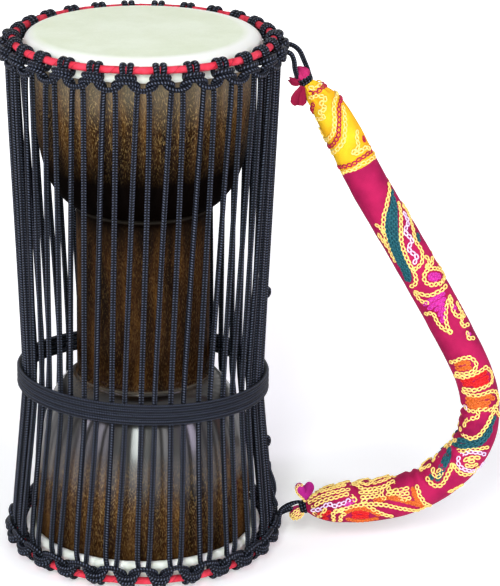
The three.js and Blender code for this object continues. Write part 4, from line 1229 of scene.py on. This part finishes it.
# flaps: places from the top neck, widths and depth of the folds, mm
flaps = {
    "near": ([(-2.2, -3.8, -3.5), (-3.8, -6.6, -7.5), (-5.2, -7.8, -12.5), (-5.4, -7.2, -17.6)],
             [5.0, 9.5, 12.0, 12.6], 0.9),
    "far": ([(-3.0, -1.5, -1.0), (-6.5, -3.0, -0.6), (-10.0, -3.5, 0.6), (-12.6, -3.0, 2.0)],
            [4.5, 7.0, 7.0, 5.0], 0.5),
}
for name, (places, widths, fold) in flaps.items():
    makeFlap(f"tuft_top_flap_{name}", [neckTop + np.array(p) for p in places], widths, fold, deepCotton)
lowPuff = puffSurface(neckBottom + bottomAhead + np.array([0, 0, -1.5]), bottomAhead + np.array([0, 0, -0.75]),
                      (5.2, 12.5), 5)
makePuff("tuft_bottom", lowPuff, tuftCotton)
heart = padSurface(neckBottom + np.array([0.6, -2.5, 13.0]), (-0.1, 0, 1), 15.6, 18.5, 2.7, -0.1)
makePad("tuft_bottom_heart", heart, violetCotton)
heartBack = padSurface(neckBottom + np.array([-0.6, 3.0, 12.4]), (0.1, 0, 1), 13.0, 13.0, 2.2, 0.1)
makePad("tuft_bottom_heart_back", heartBack, tuftCotton)
puffRows = [[(s, a) for s in np.linspace(0.08, 0.9, 9)] for a in np.radians([-34, 0, 34, 146, 180, 214])]
heartRows = [[(0.84, a) for a in np.linspace(3.3, 5.7, 16)]]
finishTuft("stitches_tuft", *joinParts([layChain(puffRows, lowPuff, 0.8), layChain(heartRows, heart, 0.62)]),
           threads["cream"])
print("gathered ends made")

# Strap ties
tie = {
    "radius": 1.95, "woundRadius": 1.45, "windRadius": strap["neckRadius"] + 1.6, "turns": 1.5, "pitch": 2.9,
    "start": -2.8, "facingKnot": 6, "steps": 16,
}
throatHalf = [(6.9, 0.6, 11.3), (11.6, 3.0, 8.4)]
throatMiddle = (0, 1.5, 11.4)
# the two legs from the rim to the strap's neck, as mm [along the ring, out from it, away from the head]
legs = {
    1: ([(-11.4, 9.9, 7.6), (-10.4, 13.6, 9.4), (-9.4, 15.8, 14.5), (-7.6, 16.6, 21.5)],
        [(11.4, 9.9, 7.6), (10.4, 16.0, 8.6), (9.4, 21.0, 12.5), (8.2, 24.6, 20.0)]),
    -1: ([(-11.4, 9.9, 7.6), (-6.5, 10.6, 11.6), (-2.0, 12.0, 16.0), (-0.6, 15.6, 18.6), (-0.4, 20.2, 20.8),
          (-0.6, 24.6, 22.4)],
         [(11.4, 9.9, 7.6), (6.5, 10.8, 9.0), (2.2, 12.8, 12.0), (0.8, 17.0, 14.8), (0.6, 21.5, 16.0),
          (0.6, 25.4, 15.4)])}


def tieRoute(end, neck, insidePoint):
    ahead = unit(insidePoint - neck)
    side = np.array([0, 1.0, 0])
    up = np.cross(ahead, side)
    near, far = ([atKnot(tie["facingKnot"], end, *place)
                  for place in [(sign * s, o, a) for s, o, a in throatHalf] + leg]
                 for sign, leg in zip((-1, 1), legs[end]))
    count = round(tie["turns"] * tie["steps"])
    winding = []
    for i in range(count + 1):      # across the neck's front, behind it and across its front again
        angle = -end * (math.pi / 2 + i * 2 * math.pi / tie["steps"])
        winding.append(neck + ahead * (tie["start"] + tie["turns"] * tie["pitch"] * i / count)
                       + tie["windRadius"] * (math.cos(angle) * side + math.sin(angle) * up))
    return [atKnot(tie["facingKnot"], end, *throatMiddle), *near, *winding, *far[::-1]]


for end, name, neck, inside in ((1, "top", neckTop, strapPoints[1]), (-1, "bottom", neckBottom, strapPoints[-2])):
    path = smoothPath(tieRoute(end, neck, inside), 1.2, True)
    # drawn tight round the neck
    squeezed = np.exp(-(np.clip(np.linalg.norm(path - neck, axis=1) - 6, 0, 9) / 3) ** 2)
    radius = tie["radius"] + (tie["woundRadius"] - tie["radius"]) * squeezed
    strapTie = makeTubes(f"tie_{name}", [(path, True)], radius, rope["sides"], braidedRope)
    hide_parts(f"strap_tie_{name}")
    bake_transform(strapTie)
print("strap ties made")

# Cold-drawn steel wire, hidden in the cloth and the skin: plain grey with faint drawing lines
drawnSteel, tree, shader, place = newMaterial("drawn_steel_wire", {
    "Metallic": 1.0, "Roughness": 0.35, "Base Color": "#9C9EA2"})
lines = addNode(tree, "TexNoise", {"Scale": 300.0, "Detail": 3.0, "Vector": place})
steelTone = addNode(tree, "ValToRGB", {"stops": [(0.3, "#7E8084"), (0.7, "#A6A8AC")], "Fac": lines})
feed(shader, {"Base Color": steelTone})
for thing in bpy.data.objects:      # kept from the CAD
    if thing.type == "MESH" and thing.name.startswith(("crown_ring", "flesh_hoop")):
        thing.data.materials.clear()
        thing.data.materials.append(drawnSteel)
print("steel dressed")
